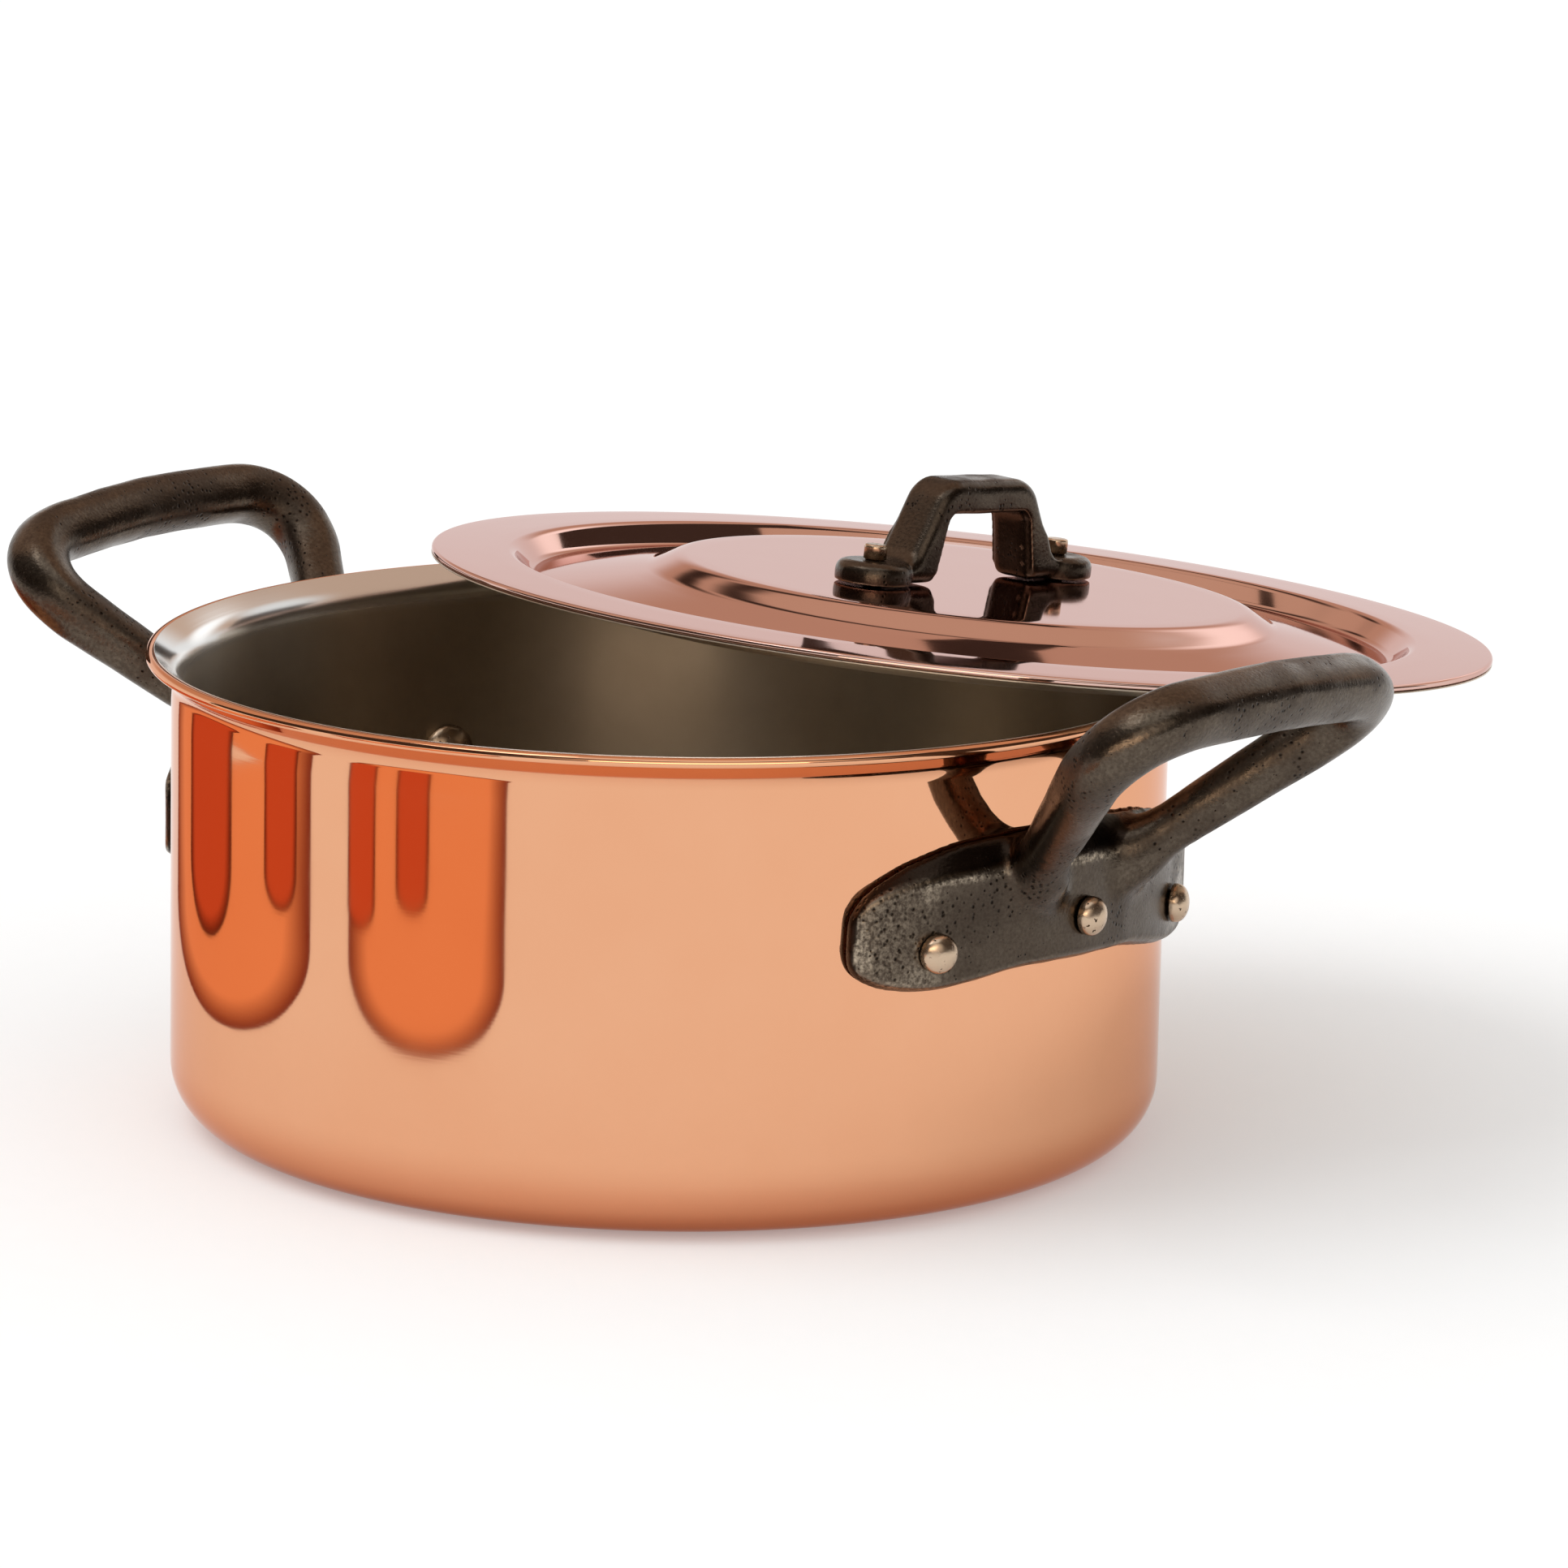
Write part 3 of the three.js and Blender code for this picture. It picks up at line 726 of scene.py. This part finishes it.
outward = Vector((math.cos(LOOP_RISE), 0, math.sin(LOOP_RISE)))
upward = Vector((-math.sin(LOOP_RISE), 0, math.cos(LOOP_RISE)))
across = Vector((0, 1, 0))
loop_root = Vector((plate_core, 0, LOOP_ROOT_RISE))
cant = Matrix.Translation((0, 0, plate_middle)) @ Matrix.Rotation(HANDLE_CANT, 4, "X")


def add_loop(bm):
    path = loop_path()
    rings = []
    for i, spot in enumerate(path):
        tangent = (path[min(i + 1, len(path) - 1)] - path[max(i - 1, 0)]).normalized()
        outside = across * tangent.x - outward * tangent.y
        along = outward * tangent.x + across * tangent.y
        laid = Matrix((outside, upward, along)).transposed().to_4x4()
        laid.translation = loop_root + outward * spot.x + across * spot.y
        fat = smooth_step(spot.x / LOOP_LENGTH)
        flare = 1 - smooth_step(spot.x / ROOT_FLARE_REACH)
        ring = bmesh.ops.create_circle(
            bm, cap_ends=i in (0, len(path) - 1), segments=LOOP_SIDES,
            radius=LEG_RADIUS + (BAR_RADIUS - LEG_RADIUS) * fat + ROOT_FLARE * flare,
        )["verts"]
        for vert in ring:
            angle = math.atan2(vert.co.y, vert.co.x) - SECTION_TURN - SECTION_CORNER
            squared = abs(math.cos(angle)) ** SECTION_POWER + abs(math.sin(angle)) ** SECTION_POWER
            vert.co *= squared ** (-1 / SECTION_POWER)
        bmesh.ops.transform(bm, matrix=cant @ laid, verts=ring)
        press_out(ring, plate_core)
        rings.append({edge for vert in ring for edge in vert.link_edges})
    for near, far in zip(rings, rings[1:]):
        bmesh.ops.bridge_loops(bm, edges=[*near, *far])


print("the loop's path has", len(loop_path()), "steps")

# %% [markdown]
# Wear follows the shape. The tips of the plate are rubbed and the grip a little. The ridge below the bevel is
# painted bright, partly as wear and partly as a painted highlight. The bevel, which the loop shelters, and
# the rim next to the wall get a painted shade. Each vertex is unwrapped again to its place on the flat
# drawing, which tells which of these it is.

# %% Wear, painted highlight and painted shade of the side handles
TIP_FROM = 0.55
TIP_OVER = 0.4
RIDGE_HALF = 0.8
SHADE_OVER = 1.0
SHADE_STRENGTH = 0.95
GRIP_RUB = 0.08
PLATE_REACH = 1.0
RIM_DEPTH = 3.2


def paint_wear_highlight_and_shade(bm):
    rubbed = bm.verts.layers.float.new("rubbed")
    sooty = bm.verts.layers.float.new("sooty")
    for vert in bm.verts:
        reach = vert.co.xy.length
        if reach > plate_front + PLATE_REACH:
            vert[rubbed] = GRIP_RUB
            continue
        # Painted shade: the rim next to the wall is painted darker.
        if reach < plate_back + RIM_DEPTH:
            vert[sooty] = SHADE_STRENGTH
            continue
        unwrapped = Vector((math.atan2(vert.co.y, vert.co.x) * POT_RADIUS, vert.co.z - plate_middle))
        flat = Matrix.Rotation(-HANDLE_CANT, 2) @ unwrapped
        share = min(abs(flat.x) / PLATE_HALF_LENGTH, PLATE_TIP)
        _, high, top_bevel, _ = plate_outline(share)
        over_ridge = flat.y - (high - top_bevel)
        tip = smooth_step((share - TIP_FROM) / TIP_OVER)
        # The ridge line below the bevel is painted bright, partly as wear and partly as a painted highlight.
        vert[rubbed] = max(tip, math.exp(-(over_ridge / RIDGE_HALF + 1) ** 2))
        # Painted shade on the bevel above the ridge.
        vert[sooty] = SHADE_STRENGTH * smooth_step(over_ridge / SHADE_OVER)


print("wear is painted on the vertices as 'rubbed' and 'sooty'")

# %% [markdown]
# Plate and loop are cast together. The pattern maker fills the corners between them with wax fillets, and
# more smoothing close to the leg roots does the same, in three narrowing circles so that no border shows.
# Any iron that ends up behind the plate's back is pressed flush with it, because the back is ground to fit
# the wall. The left handle is the same casting turned half round the pot.

# %% Side handles
HANDLE_VOXEL = 0.6
HANDLE_SMOOTHING = 4
ROOT_BLENDS = {17: 10, 13.5: 18, 10.5: 30}
sides = {"right": Matrix(), "left": Matrix.Rotation(math.pi, 4, "Z")}

pattern = handle_plate()
add_loop(pattern)
handle = cast(pattern, HANDLE_VOXEL, HANDLE_SMOOTHING)
leg_roots = [cant @ (loop_root + across * y) for y in (-LOOP_ROOT_SPREAD, LOOP_ROOT_SPREAD)]
for reach, passes in ROOT_BLENDS.items():
    close = [vert for vert in handle.verts if min((vert.co - root).length for root in leg_roots) < reach]
    soften(handle, close, passes)
press_out(handle.verts, plate_back)
paint_wear_highlight_and_shade(handle)
for name, turn in sides.items():
    finish_piece(f"cast_handle_{name}", handle.copy(), cast_iron, f"side_handle_{name}", turn)
handle.free()

# %% [markdown]
# A rivet goes through plate, copper and steel. It is turned with a broad flat dome inside the pot, and its
# other end is hammered into a small button on the plate. Both domes are quarter ellipses.

# %% Handle rivets
RIVET_SHANK = 2.7
RIVET_HEAD = 3.9
RIVET_HEAD_SIDE = 0.9
RIVET_HEAD_DOME = 2.4
RIVET_INSIDE = 5.9
RIVET_INSIDE_DOME = 2.6
RIVET_PITCH = 38
RIVET_MID_DROP = 0.8
RIVET_END_DROP = 4.4
RIVET_EDGE = 0.25
RIVET_TURNS = 48
DOME_STEPS = 10


def dome(radius, base, height):
    angles = [math.pi / 2 * k / DOME_STEPS for k in range(DOME_STEPS + 1)]
    return [(radius * math.sin(a), base + height * math.cos(a), 0) for a in angles]


inside_start = math.sqrt((POT_RADIUS - POT_WALL) ** 2 - RIVET_INSIDE ** 2) - SEAT_GAP
outside_start = plate_front + SEAT_GAP
rivet_outline = [
    *dome(RIVET_INSIDE, inside_start, -RIVET_INSIDE_DOME),
    (RIVET_SHANK, inside_start, 0),
    (RIVET_SHANK, outside_start, 0),
    (RIVET_HEAD, outside_start, RIVET_EDGE),
    *dome(RIVET_HEAD, outside_start + RIVET_HEAD_SIDE, RIVET_HEAD_DOME)[::-1],
]
rivet_spots = [(-RIVET_PITCH, -RIVET_END_DROP), (0, -RIVET_MID_DROP), (RIVET_PITCH, -RIVET_END_DROP)]
for name, turn in sides.items():
    for i, (along, up) in enumerate(rivet_spots, start=1):
        spot = on_wall(along, up, POT_RADIUS)
        along_radius = (
            Matrix.Rotation(math.atan2(spot.y, spot.x), 4, "Z") @ Matrix.Rotation(math.pi / 2, 4, "Y")
        )
        place = turn @ Matrix.Translation((0, 0, spot.z)) @ along_radius
        finish_piece(
            f"button_rivet_{name}_{i}", turned(rivet_outline, RIVET_TURNS), rivet_steel,
            f"{name}_handle_rivet_{i}", place,
        )

# %% [markdown]
# The lid's handle is a cast bridge: a strap that rises from two round feet to a flat top. Its side view is a
# bent wire that is closed and filled, drawn out to the strap's width and bevelled. The feet are discs with a
# rounded upper edge, and one casting joins the three.

# %% Bridge handle of the lid
FOOT_PITCH = 29
FOOT_RADIUS = 8
FOOT_THICKNESS = 4.6
FOOT_BEVEL = 2.2
FOOT_TURNS = 64
BRIDGE_HEIGHT = 21.5
BRIDGE_TOP_HALF = 13.5
BRIDGE_FOOT_HALF = 22.5
BRIDGE_CORNER = 7
BRIDGE_FOOT_FILLET = 4
BRIDGE_BAR = 7.2
OPENING_TOP_HALF = 12
OPENING_FOOT_HALF = 15
OPENING_CORNER = 2.5
OPENING_FOOT_FILLET = 1.5
STRAP_WIDTH = 11.6
STRAP_BEVEL = 2.6
BEVEL_STEPS = 4
QUAD_CORNERS = 4
BRIDGE_VOXEL = 0.35
BRIDGE_SMOOTHING = 10

half_bridge = [
    (FOOT_PITCH, 0, 0),
    (FOOT_PITCH, FOOT_THICKNESS, 0),
    (BRIDGE_FOOT_HALF, FOOT_THICKNESS, BRIDGE_FOOT_FILLET),
    (BRIDGE_TOP_HALF, BRIDGE_HEIGHT, BRIDGE_CORNER),
]
half_opening = [
    (OPENING_TOP_HALF, BRIDGE_HEIGHT - BRIDGE_BAR, OPENING_CORNER),
    (OPENING_FOOT_HALF, 0, OPENING_FOOT_FILLET),
]


def mirrored(corners):
    return [(-across, up, bend) for across, up, bend in corners[::-1]]


bridge = bent_wire(half_bridge + mirrored(half_bridge) + mirrored(half_opening) + half_opening, closed=True)
front = bmesh.ops.edgeloop_fill(bridge, edges=bridge.edges[:])["faces"]
rear = verts_of(bmesh.ops.extrude_face_region(bridge, geom=front, use_keep_orig=True))
bmesh.ops.translate(bridge, vec=(0, STRAP_WIDTH, 0), verts=rear)
bmesh.ops.translate(bridge, vec=(0, -STRAP_WIDTH / 2, 0), verts=bridge.verts)
rims = {edge for face in bridge.faces if len(face.verts) > QUAD_CORNERS for edge in face.edges}
round_off(bridge, list(rims), "EDGES", STRAP_BEVEL, BEVEL_STEPS)
for x in (-FOOT_PITCH, FOOT_PITCH):
    foot = bmesh.ops.create_cone(
        bridge, cap_ends=True, segments=FOOT_TURNS, radius1=FOOT_RADIUS, radius2=FOOT_RADIUS,
        depth=FOOT_THICKNESS, matrix=Matrix.Translation((x, 0, FOOT_THICKNESS / 2)),
    )["verts"]
    crown = {v for v in foot if v.co.z > FOOT_THICKNESS / 2}
    upper_rim = {e for v in crown for e in v.link_edges if e.other_vert(v) in crown}
    round_off(bridge, list(upper_rim), "EDGES", FOOT_BEVEL, BEVEL_STEPS)
on_plateau = lid_place @ Matrix.Translation((0, 0, PLATEAU_HEIGHT + SEAT_GAP))
finish_piece("cast_bridge", cast(bridge, BRIDGE_VOXEL, BRIDGE_SMOOTHING), cast_iron, "lid_handle", on_plateau)

# %% [markdown]
# The bridge's rivets are left as short stubs on the feet, with a flat head under the lid.

# %% Lid rivets
STUB_SHANK = 2
STUB_RADIUS = 2.4
STUB_HEIGHT = 3
STUB_EDGE = 0.5
STUB_HEAD = 4.5
STUB_HEAD_DOME = 1.5

under_lid = PLATEAU_HEIGHT - LID_WALL - SEAT_GAP
on_foot = PLATEAU_HEIGHT + FOOT_THICKNESS + 2 * SEAT_GAP
stub_outline = [
    *dome(STUB_HEAD, under_lid, -STUB_HEAD_DOME),
    (STUB_SHANK, under_lid, 0),
    (STUB_SHANK, on_foot, 0),
    (STUB_RADIUS, on_foot, 0),
    (STUB_RADIUS, on_foot + STUB_HEIGHT, STUB_EDGE),
    (0, on_foot + STUB_HEIGHT, 0),
]
for i, x in enumerate((-FOOT_PITCH, FOOT_PITCH), start=1):
    place = lid_place @ Matrix.Translation((x, 0, 0))
    finish_piece(f"lid_stub_{i}", turned(stub_outline, RIVET_TURNS), rivet_steel, f"lid_rivet_{i}", place)

# %% [markdown]
# The camera stands where the photographer stood: 1.4 m away, with a long lens, turned slightly down and to
# the right and not quite level. It looks along the pot's frame turned by 39.4 degrees, so places for lamps
# and cards are given as seen from it: to the right, away and up.

# %% Camera
CAMERA_AZIMUTH = math.radians(39.4)
CAMERA_DISTANCE = 1.4
CAMERA_HEIGHT = 0.37103
CAMERA_YAW = 0.0168
CAMERA_PITCH = 0.2119
CAMERA_ROLL = 0.0219
SENSOR_MM = 36
LENS_MM = 160.11

seen_from_camera = Matrix.Rotation(CAMERA_AZIMUTH, 4, "Z")
camera_data = bpy.data.cameras.new("photographer")
camera_data.sensor_width = SENSOR_MM
camera_data.lens = LENS_MM
camera = bpy.data.objects.new("photographer", camera_data)
camera.matrix_world = (
    seen_from_camera
    @ Matrix.Translation((0, -CAMERA_DISTANCE, CAMERA_HEIGHT))
    @ Matrix.Rotation(-CAMERA_YAW, 4, "Z")
    @ Matrix.Rotation(math.pi / 2 - CAMERA_PITCH, 4, "X")
    @ Matrix.Rotation(CAMERA_ROLL, 4, "Z")
)
bpy.context.collection.objects.link(camera)
bpy.context.scene.camera = camera
bpy.context.scene.view_settings.view_transform = "Standard"
print("camera at", [round(c, 3) for c in camera.matrix_world.translation])

# %% [markdown]
# The studio is white all round. Polished metal has no look but what it mirrors, so the white must show to the
# camera and in reflections, while the light that falls on the floor stays soft and low. Light Path tells the
# two kinds of ray apart.

# %% White surroundings
AMBIENT = 0.7
WHITE = (1, 1, 1, 1)


def looked_at(tree):
    camera_ray = add(tree, "LightPath", "Is Camera Ray")
    outputs = camera_ray.node.outputs
    mirrored_ray = add(tree, "Math", "Value", {
        "Value": outputs["Is Glossy Ray"], "Value_001": outputs["Is Transmission Ray"],
    }, operation="MAXIMUM")
    return add(tree, "Math", "Value", {"Value": camera_ray, "Value_001": mirrored_ray}, operation="MAXIMUM")


world = bpy.data.worlds.new("white_studio")
bpy.context.scene.world = world
world.use_nodes = True
tree = world.node_tree
tree.nodes.clear()
strength = add(tree, "MapRange", "Result", {"Value": looked_at(tree), "To Min": AMBIENT, "To Max": 1.0})
background = add(tree, "Background", "Background", {"Color": WHITE, "Strength": strength})
add(tree, "OutputWorld", None, {"Surface": background})
print("surroundings:", world.name)

# %% [markdown]
# The floor is pale painted board. It takes the pot's shadow and shows softly in the copper. The same trick
# lifts it to white for the rays that look at it, and leaves the shadow visible.

# %% Floor
FLOOR_SIZE = 6.0
FLOOR_DROP = 0.2 * MM
FLOOR_LIFT = 0.25
BOARD_GRAIN = 6 * MM

board, tree = new_material("matt_white_painted_board")
place = add(tree, "TexCoord", "Object")
grain = add(tree, "TexNoise", "Fac", {"Vector": place, "Scale": 1 / BOARD_GRAIN, "Detail": 3.0})
paint = add(tree, "Mix", "Result_Color", {
    "Factor_Float": grain, "A_Color": linear("#f2f2f2"), "B_Color": linear("#efefee"),
}, data_type="RGBA")
lift = add(tree, "Math", "Value", {"Value": looked_at(tree), "Value_001": FLOOR_LIFT}, operation="MULTIPLY")
shader = add(tree, "BsdfPrincipled", "BSDF", {
    "Base Color": paint, "Roughness": 0.9, "Specular IOR Level": 0.0,
    "Emission Color": WHITE, "Emission Strength": lift,
})
add(tree, "OutputMaterial", None, {"Surface": shader})

bm = bmesh.new()
bmesh.ops.create_grid(bm, x_segments=1, y_segments=1, size=FLOOR_SIZE / 2)
bmesh.ops.translate(bm, vec=(0, 0, -FLOOR_DROP), verts=bm.verts)
floor = make_object("studio_floor", bm, board)
print("floor", FLOOR_SIZE, "m across")

# %% [markdown]
# One soft lamp from the upper left gives the shadow to the right and the highlights on the iron. A sun lamp
# lights the whole floor evenly, so the board stays white to its far edge, and its wide angle makes the
# shadow's edge soft.

# %% Key lamp
KEY_FROM = (-1.0, -0.16, 1.4)
KEY_STRENGTH = 0.8
KEY_SPREAD = math.radians(48)

key_data = bpy.data.lights.new("soft_key", "SUN")
key_data.energy = KEY_STRENGTH
key_data.angle = KEY_SPREAD
key = bpy.data.objects.new("soft_key", key_data)
key_direction = seen_from_camera @ Vector(KEY_FROM)
key_turn = key_direction.to_track_quat("Z", "Y").to_matrix().to_4x4()
key.matrix_world = Matrix.Translation(key_direction) @ key_turn
bpy.context.collection.objects.link(key)
print("key lamp from", [round(c, 2) for c in key_direction])

# %% [markdown]
# A photographer shapes the reflections in bright metal with cards. Each is seen only in reflections and
# casts no light or shadow of its own. Its colours are painted on its vertices, and the faces blend them.

# %% Cards
card_light, tree = new_material("lit_card")
painted = add(tree, "Attribute", "Color", attribute_name="glow")
shader = add(tree, "Emission", "Emission", {"Color": painted})
add(tree, "OutputMaterial", None, {"Surface": shader})


def put_up_card(name, bm, colour_of, place=Matrix()):
    glow = bm.verts.layers.float_color.new("glow")
    for vert in bm.verts:
        vert[glow] = colour_of(vert)
    bmesh.ops.transform(bm, matrix=seen_from_camera @ place, verts=bm.verts)
    card = make_object(name, bm, card_light)
    card.visible_camera = False
    card.visible_diffuse = False
    card.visible_shadow = False
    print(name, "is a card with", len(card.data.polygons), "faces")


print("cards glow by", card_light.name)

# %% [markdown]
# A backdrop that leans over the pot is white at the floor and turns sand-coloured upwards. The lid is a
# mirror that lies nearly flat, so its level parts show the white, and the slopes of its gutter show the sand.
# Two dark patches on it show as thin lines, along the raised middle and in the gutter at the right. A bright
# patch gives the lid its one glint, and a white one far to the right lights the right handle's bar.
# Each patch is given as seen from the lid: degrees to the right with its half width, and degrees up with
# its half height.

# %% Graded backdrop
BACKDROP_FOOT = Vector((0, 2.0, 0.12))
BACKDROP_TOP = Vector((0, -0.4, 3.2))
BACKDROP_HALF = 5.5
BACKDROP_STEPS = 160
SAND_COLOUR = "#d6b6a0"
SAND_FROM = 7
SAND_OVER = 11
FLAG_COLOUR = "#43352e"
MIDDLE_LINE_FLAG = (-6, 22, 37, 5)
GROOVE_FLAG = (-12, 7.5, 24, 4)
GLINT = (27, 8, 19, 12)
GLINT_LIGHT = Vector((1.5, 1.5, 1.5, 1))
GRIP_LIGHT = (52, 20, 33, 10)


def seen_from_lid(spot, ahead):
    turn = math.atan2(spot.x, spot.y * ahead)
    high = math.atan2(spot.z - lid_centre.z * MM, spot.xy.length)
    return math.degrees(turn), math.degrees(high)


def patch(seen, turn_centre, turn_half, high_centre, high_half):
    turn, high = seen
    reach = ((turn - turn_centre) / turn_half) ** 2 + ((high - high_centre) / high_half) ** 2
    return math.exp(-reach * reach)


def backdrop_colour(vert):
    seen = seen_from_lid(vert.co, ahead=1)
    _, high = seen
    sanded = smooth_step((high - SAND_FROM) / SAND_OVER)
    shade = Vector(WHITE).lerp(Vector(linear(SAND_COLOUR)), sanded)
    shade = shade.lerp(Vector(WHITE), patch(seen, *GRIP_LIGHT))
    dark = max(patch(seen, *MIDDLE_LINE_FLAG), patch(seen, *GROOVE_FLAG))
    shade = shade.lerp(Vector(linear(FLAG_COLOUR)), dark)
    return shade.lerp(GLINT_LIGHT, patch(seen, *GLINT))


bm = bmesh.new()
bmesh.ops.create_grid(bm, x_segments=BACKDROP_STEPS, y_segments=BACKDROP_STEPS, size=1)
for vert in bm.verts:
    across_card = Vector((vert.co.x * BACKDROP_HALF, 0, 0))
    vert.co = BACKDROP_FOOT.lerp(BACKDROP_TOP, (vert.co.y + 1) / 2) + across_card
put_up_card("graded_backdrop", bm, backdrop_colour)

# %% [markdown]
# Two small cards hang close to the pot. A dark flag hangs slanting behind the lid, and the far step of the
# gutter shows it as the dark crescent at the left. It hangs close, so that the near side of the lid and the
# right handle miss it. A warm reflector hangs low in front, where only the inside of the pot looks, and gives
# the lining its soft upright sheen.

# %% Hung cards
FLAG_LEFT = Vector((35, 160, 134))
FLAG_RIGHT = Vector((112, 124, 191))
FLAG_HEIGHT = 34
REFLECTOR_LEFT = Vector((-60, -250, 112))
REFLECTOR_RIGHT = Vector((110, -250, 112))
REFLECTOR_HEIGHT = 38
REFLECTOR_LIGHT = (4.2, 3.3, 2.5, 1)


def hang_card(name, left, right, height, colour):
    bm = bmesh.new()
    lower_edge = bm.edges.new([bm.verts.new(corner) for corner in (left, right)])
    upper = verts_of(bmesh.ops.extrude_edge_only(bm, edges=[lower_edge]))
    bmesh.ops.translate(bm, vec=(0, 0, height), verts=upper)
    put_up_card(name, bm, lambda vert: colour, Matrix.Scale(MM, 4))


hang_card("black_flag", FLAG_LEFT, FLAG_RIGHT, FLAG_HEIGHT, linear(FLAG_COLOUR))
hang_card("warm_reflector", REFLECTOR_LEFT, REFLECTOR_RIGHT, REFLECTOR_HEIGHT, REFLECTOR_LIGHT)

# %% [markdown]
# Behind the camera the studio is a dim room with one broad window. The wall of the pot doesn't show it,
# because a wall that is seen from above mirrors the floor. The satin inside, the iron and the rivets do, and
# the difference between the window and the dim walls gives them their shading. The room is a post that is
# spun round behind the camera.

# %% Dim room
ROOM_RADIUS = 3.0
ROOM_HEIGHT = 4.0
ROOM_SWEEP = math.radians(230)
ROOM_STEPS = 120
POST_CUTS = 40
ROOM_COLOUR = "#453b34"
WINDOW = (10, 34, 24, 22)
WINDOW_LIGHT = Vector((1.1, 1.0, 0.9, 1))


def room_colour(vert):
    seen = seen_from_lid(vert.co, ahead=-1)
    return Vector(linear(ROOM_COLOUR)).lerp(WINDOW_LIGHT, patch(seen, *WINDOW))


bm = bmesh.new()
post = bm.edges.new([bm.verts.new((0, -ROOM_RADIUS, z)) for z in (0, ROOM_HEIGHT)])
bmesh.ops.subdivide_edges(bm, edges=[post], cuts=POST_CUTS)
bmesh.ops.rotate(bm, matrix=Matrix.Rotation(-ROOM_SWEEP / 2, 3, "Z"), verts=bm.verts)
bmesh.ops.spin(bm, geom=bm.verts[:] + bm.edges[:], axis=(0, 0, 1), angle=ROOM_SWEEP, steps=ROOM_STEPS)
put_up_card("dim_room", bm, room_colour)

# %% [markdown]
# Warm papers lie on the floor to the left of the pot, and its wall shows them as glowing bars with round
# feet. Each is drawn on the wall as it should show there: its two edges in degrees round the wall, and its
# foot in millimetres up it. A stretch makes the round foot longer or flatter. A mirror sends a ray off at the
# angle at which it came, so the ray from the camera to each corner of the drawing is mirrored there and
# followed down to the floor, where the corner of the paper goes. Narrower red papers lie on the warm ones.

# %% Warm papers
PAPER_TOP = 96
PAPER_FADE = 0.14
PAPER_ROUNDING = 0.49
PAPER_STEPS = 16
PAPER_LAYER = 0.5
WARM = {"layer": 1, "rim": "#7d2a1c", "core": "#ffb585"}
RED = {"layer": 2, "rim": "#3d0d0e", "core": "#d8643e", "stretch": 1.5}

camera_spot = Vector((0, -CAMERA_DISTANCE, CAMERA_HEIGHT)) / MM


def mirrored_spot(angle, height):
    outward = Vector((math.sin(angle), -math.cos(angle), 0))
    spot = outward * POT_RADIUS + Vector((0, 0, height))
    ray = (spot - camera_spot).reflect(outward)
    return spot - ray * (spot.z / ray.z)


def lay_paper(name, edges, foot, stretch, layer, rim, core):
    middle = math.radians(sum(edges)) / 2
    width = math.radians(edges[1] - edges[0]) * POT_RADIUS
    bm = bmesh.new()
    bmesh.ops.create_grid(bm, x_segments=1, y_segments=1, size=1)
    bmesh.ops.scale(bm, vec=(width / 2, (PAPER_TOP - foot) / stretch / 2, 1), verts=bm.verts)
    feet = [vert for vert in bm.verts if vert.co.y < 0]
    round_off(bm, feet, "VERTICES", PAPER_ROUNDING * width, PAPER_STEPS)
    bmesh.ops.inset_region(bm, faces=bm.faces[:], thickness=PAPER_FADE * width, use_boundary=True)
    for vert in bm.verts:
        height = (PAPER_TOP + foot) / 2 + vert.co.y * stretch
        vert.co = mirrored_spot(middle + vert.co.x / POT_RADIUS, height)
        vert.co.z = layer * PAPER_LAYER
    put_up_card(name, bm, lambda vert: linear(rim if vert.is_boundary else core), Matrix.Scale(MM, 4))


lay_paper("left_bar", edges=(-76, -43), foot=29.3, stretch=0.75, **WARM)
lay_paper("left_bar_outer_core", edges=(-69.6, -57.8), foot=45.6, **RED)
lay_paper("left_bar_inner_core", edges=(-51, -45.3), foot=56.3, **RED)
lay_paper("right_bar", edges=(-37.3, -17.7), foot=33, stretch=1.05, **WARM)
lay_paper("right_bar_outer_core", edges=(-37.5, -33.7), foot=56.4, **RED)
lay_paper("right_bar_inner_core", edges=(-31, -26.8), foot=60.6, **RED)
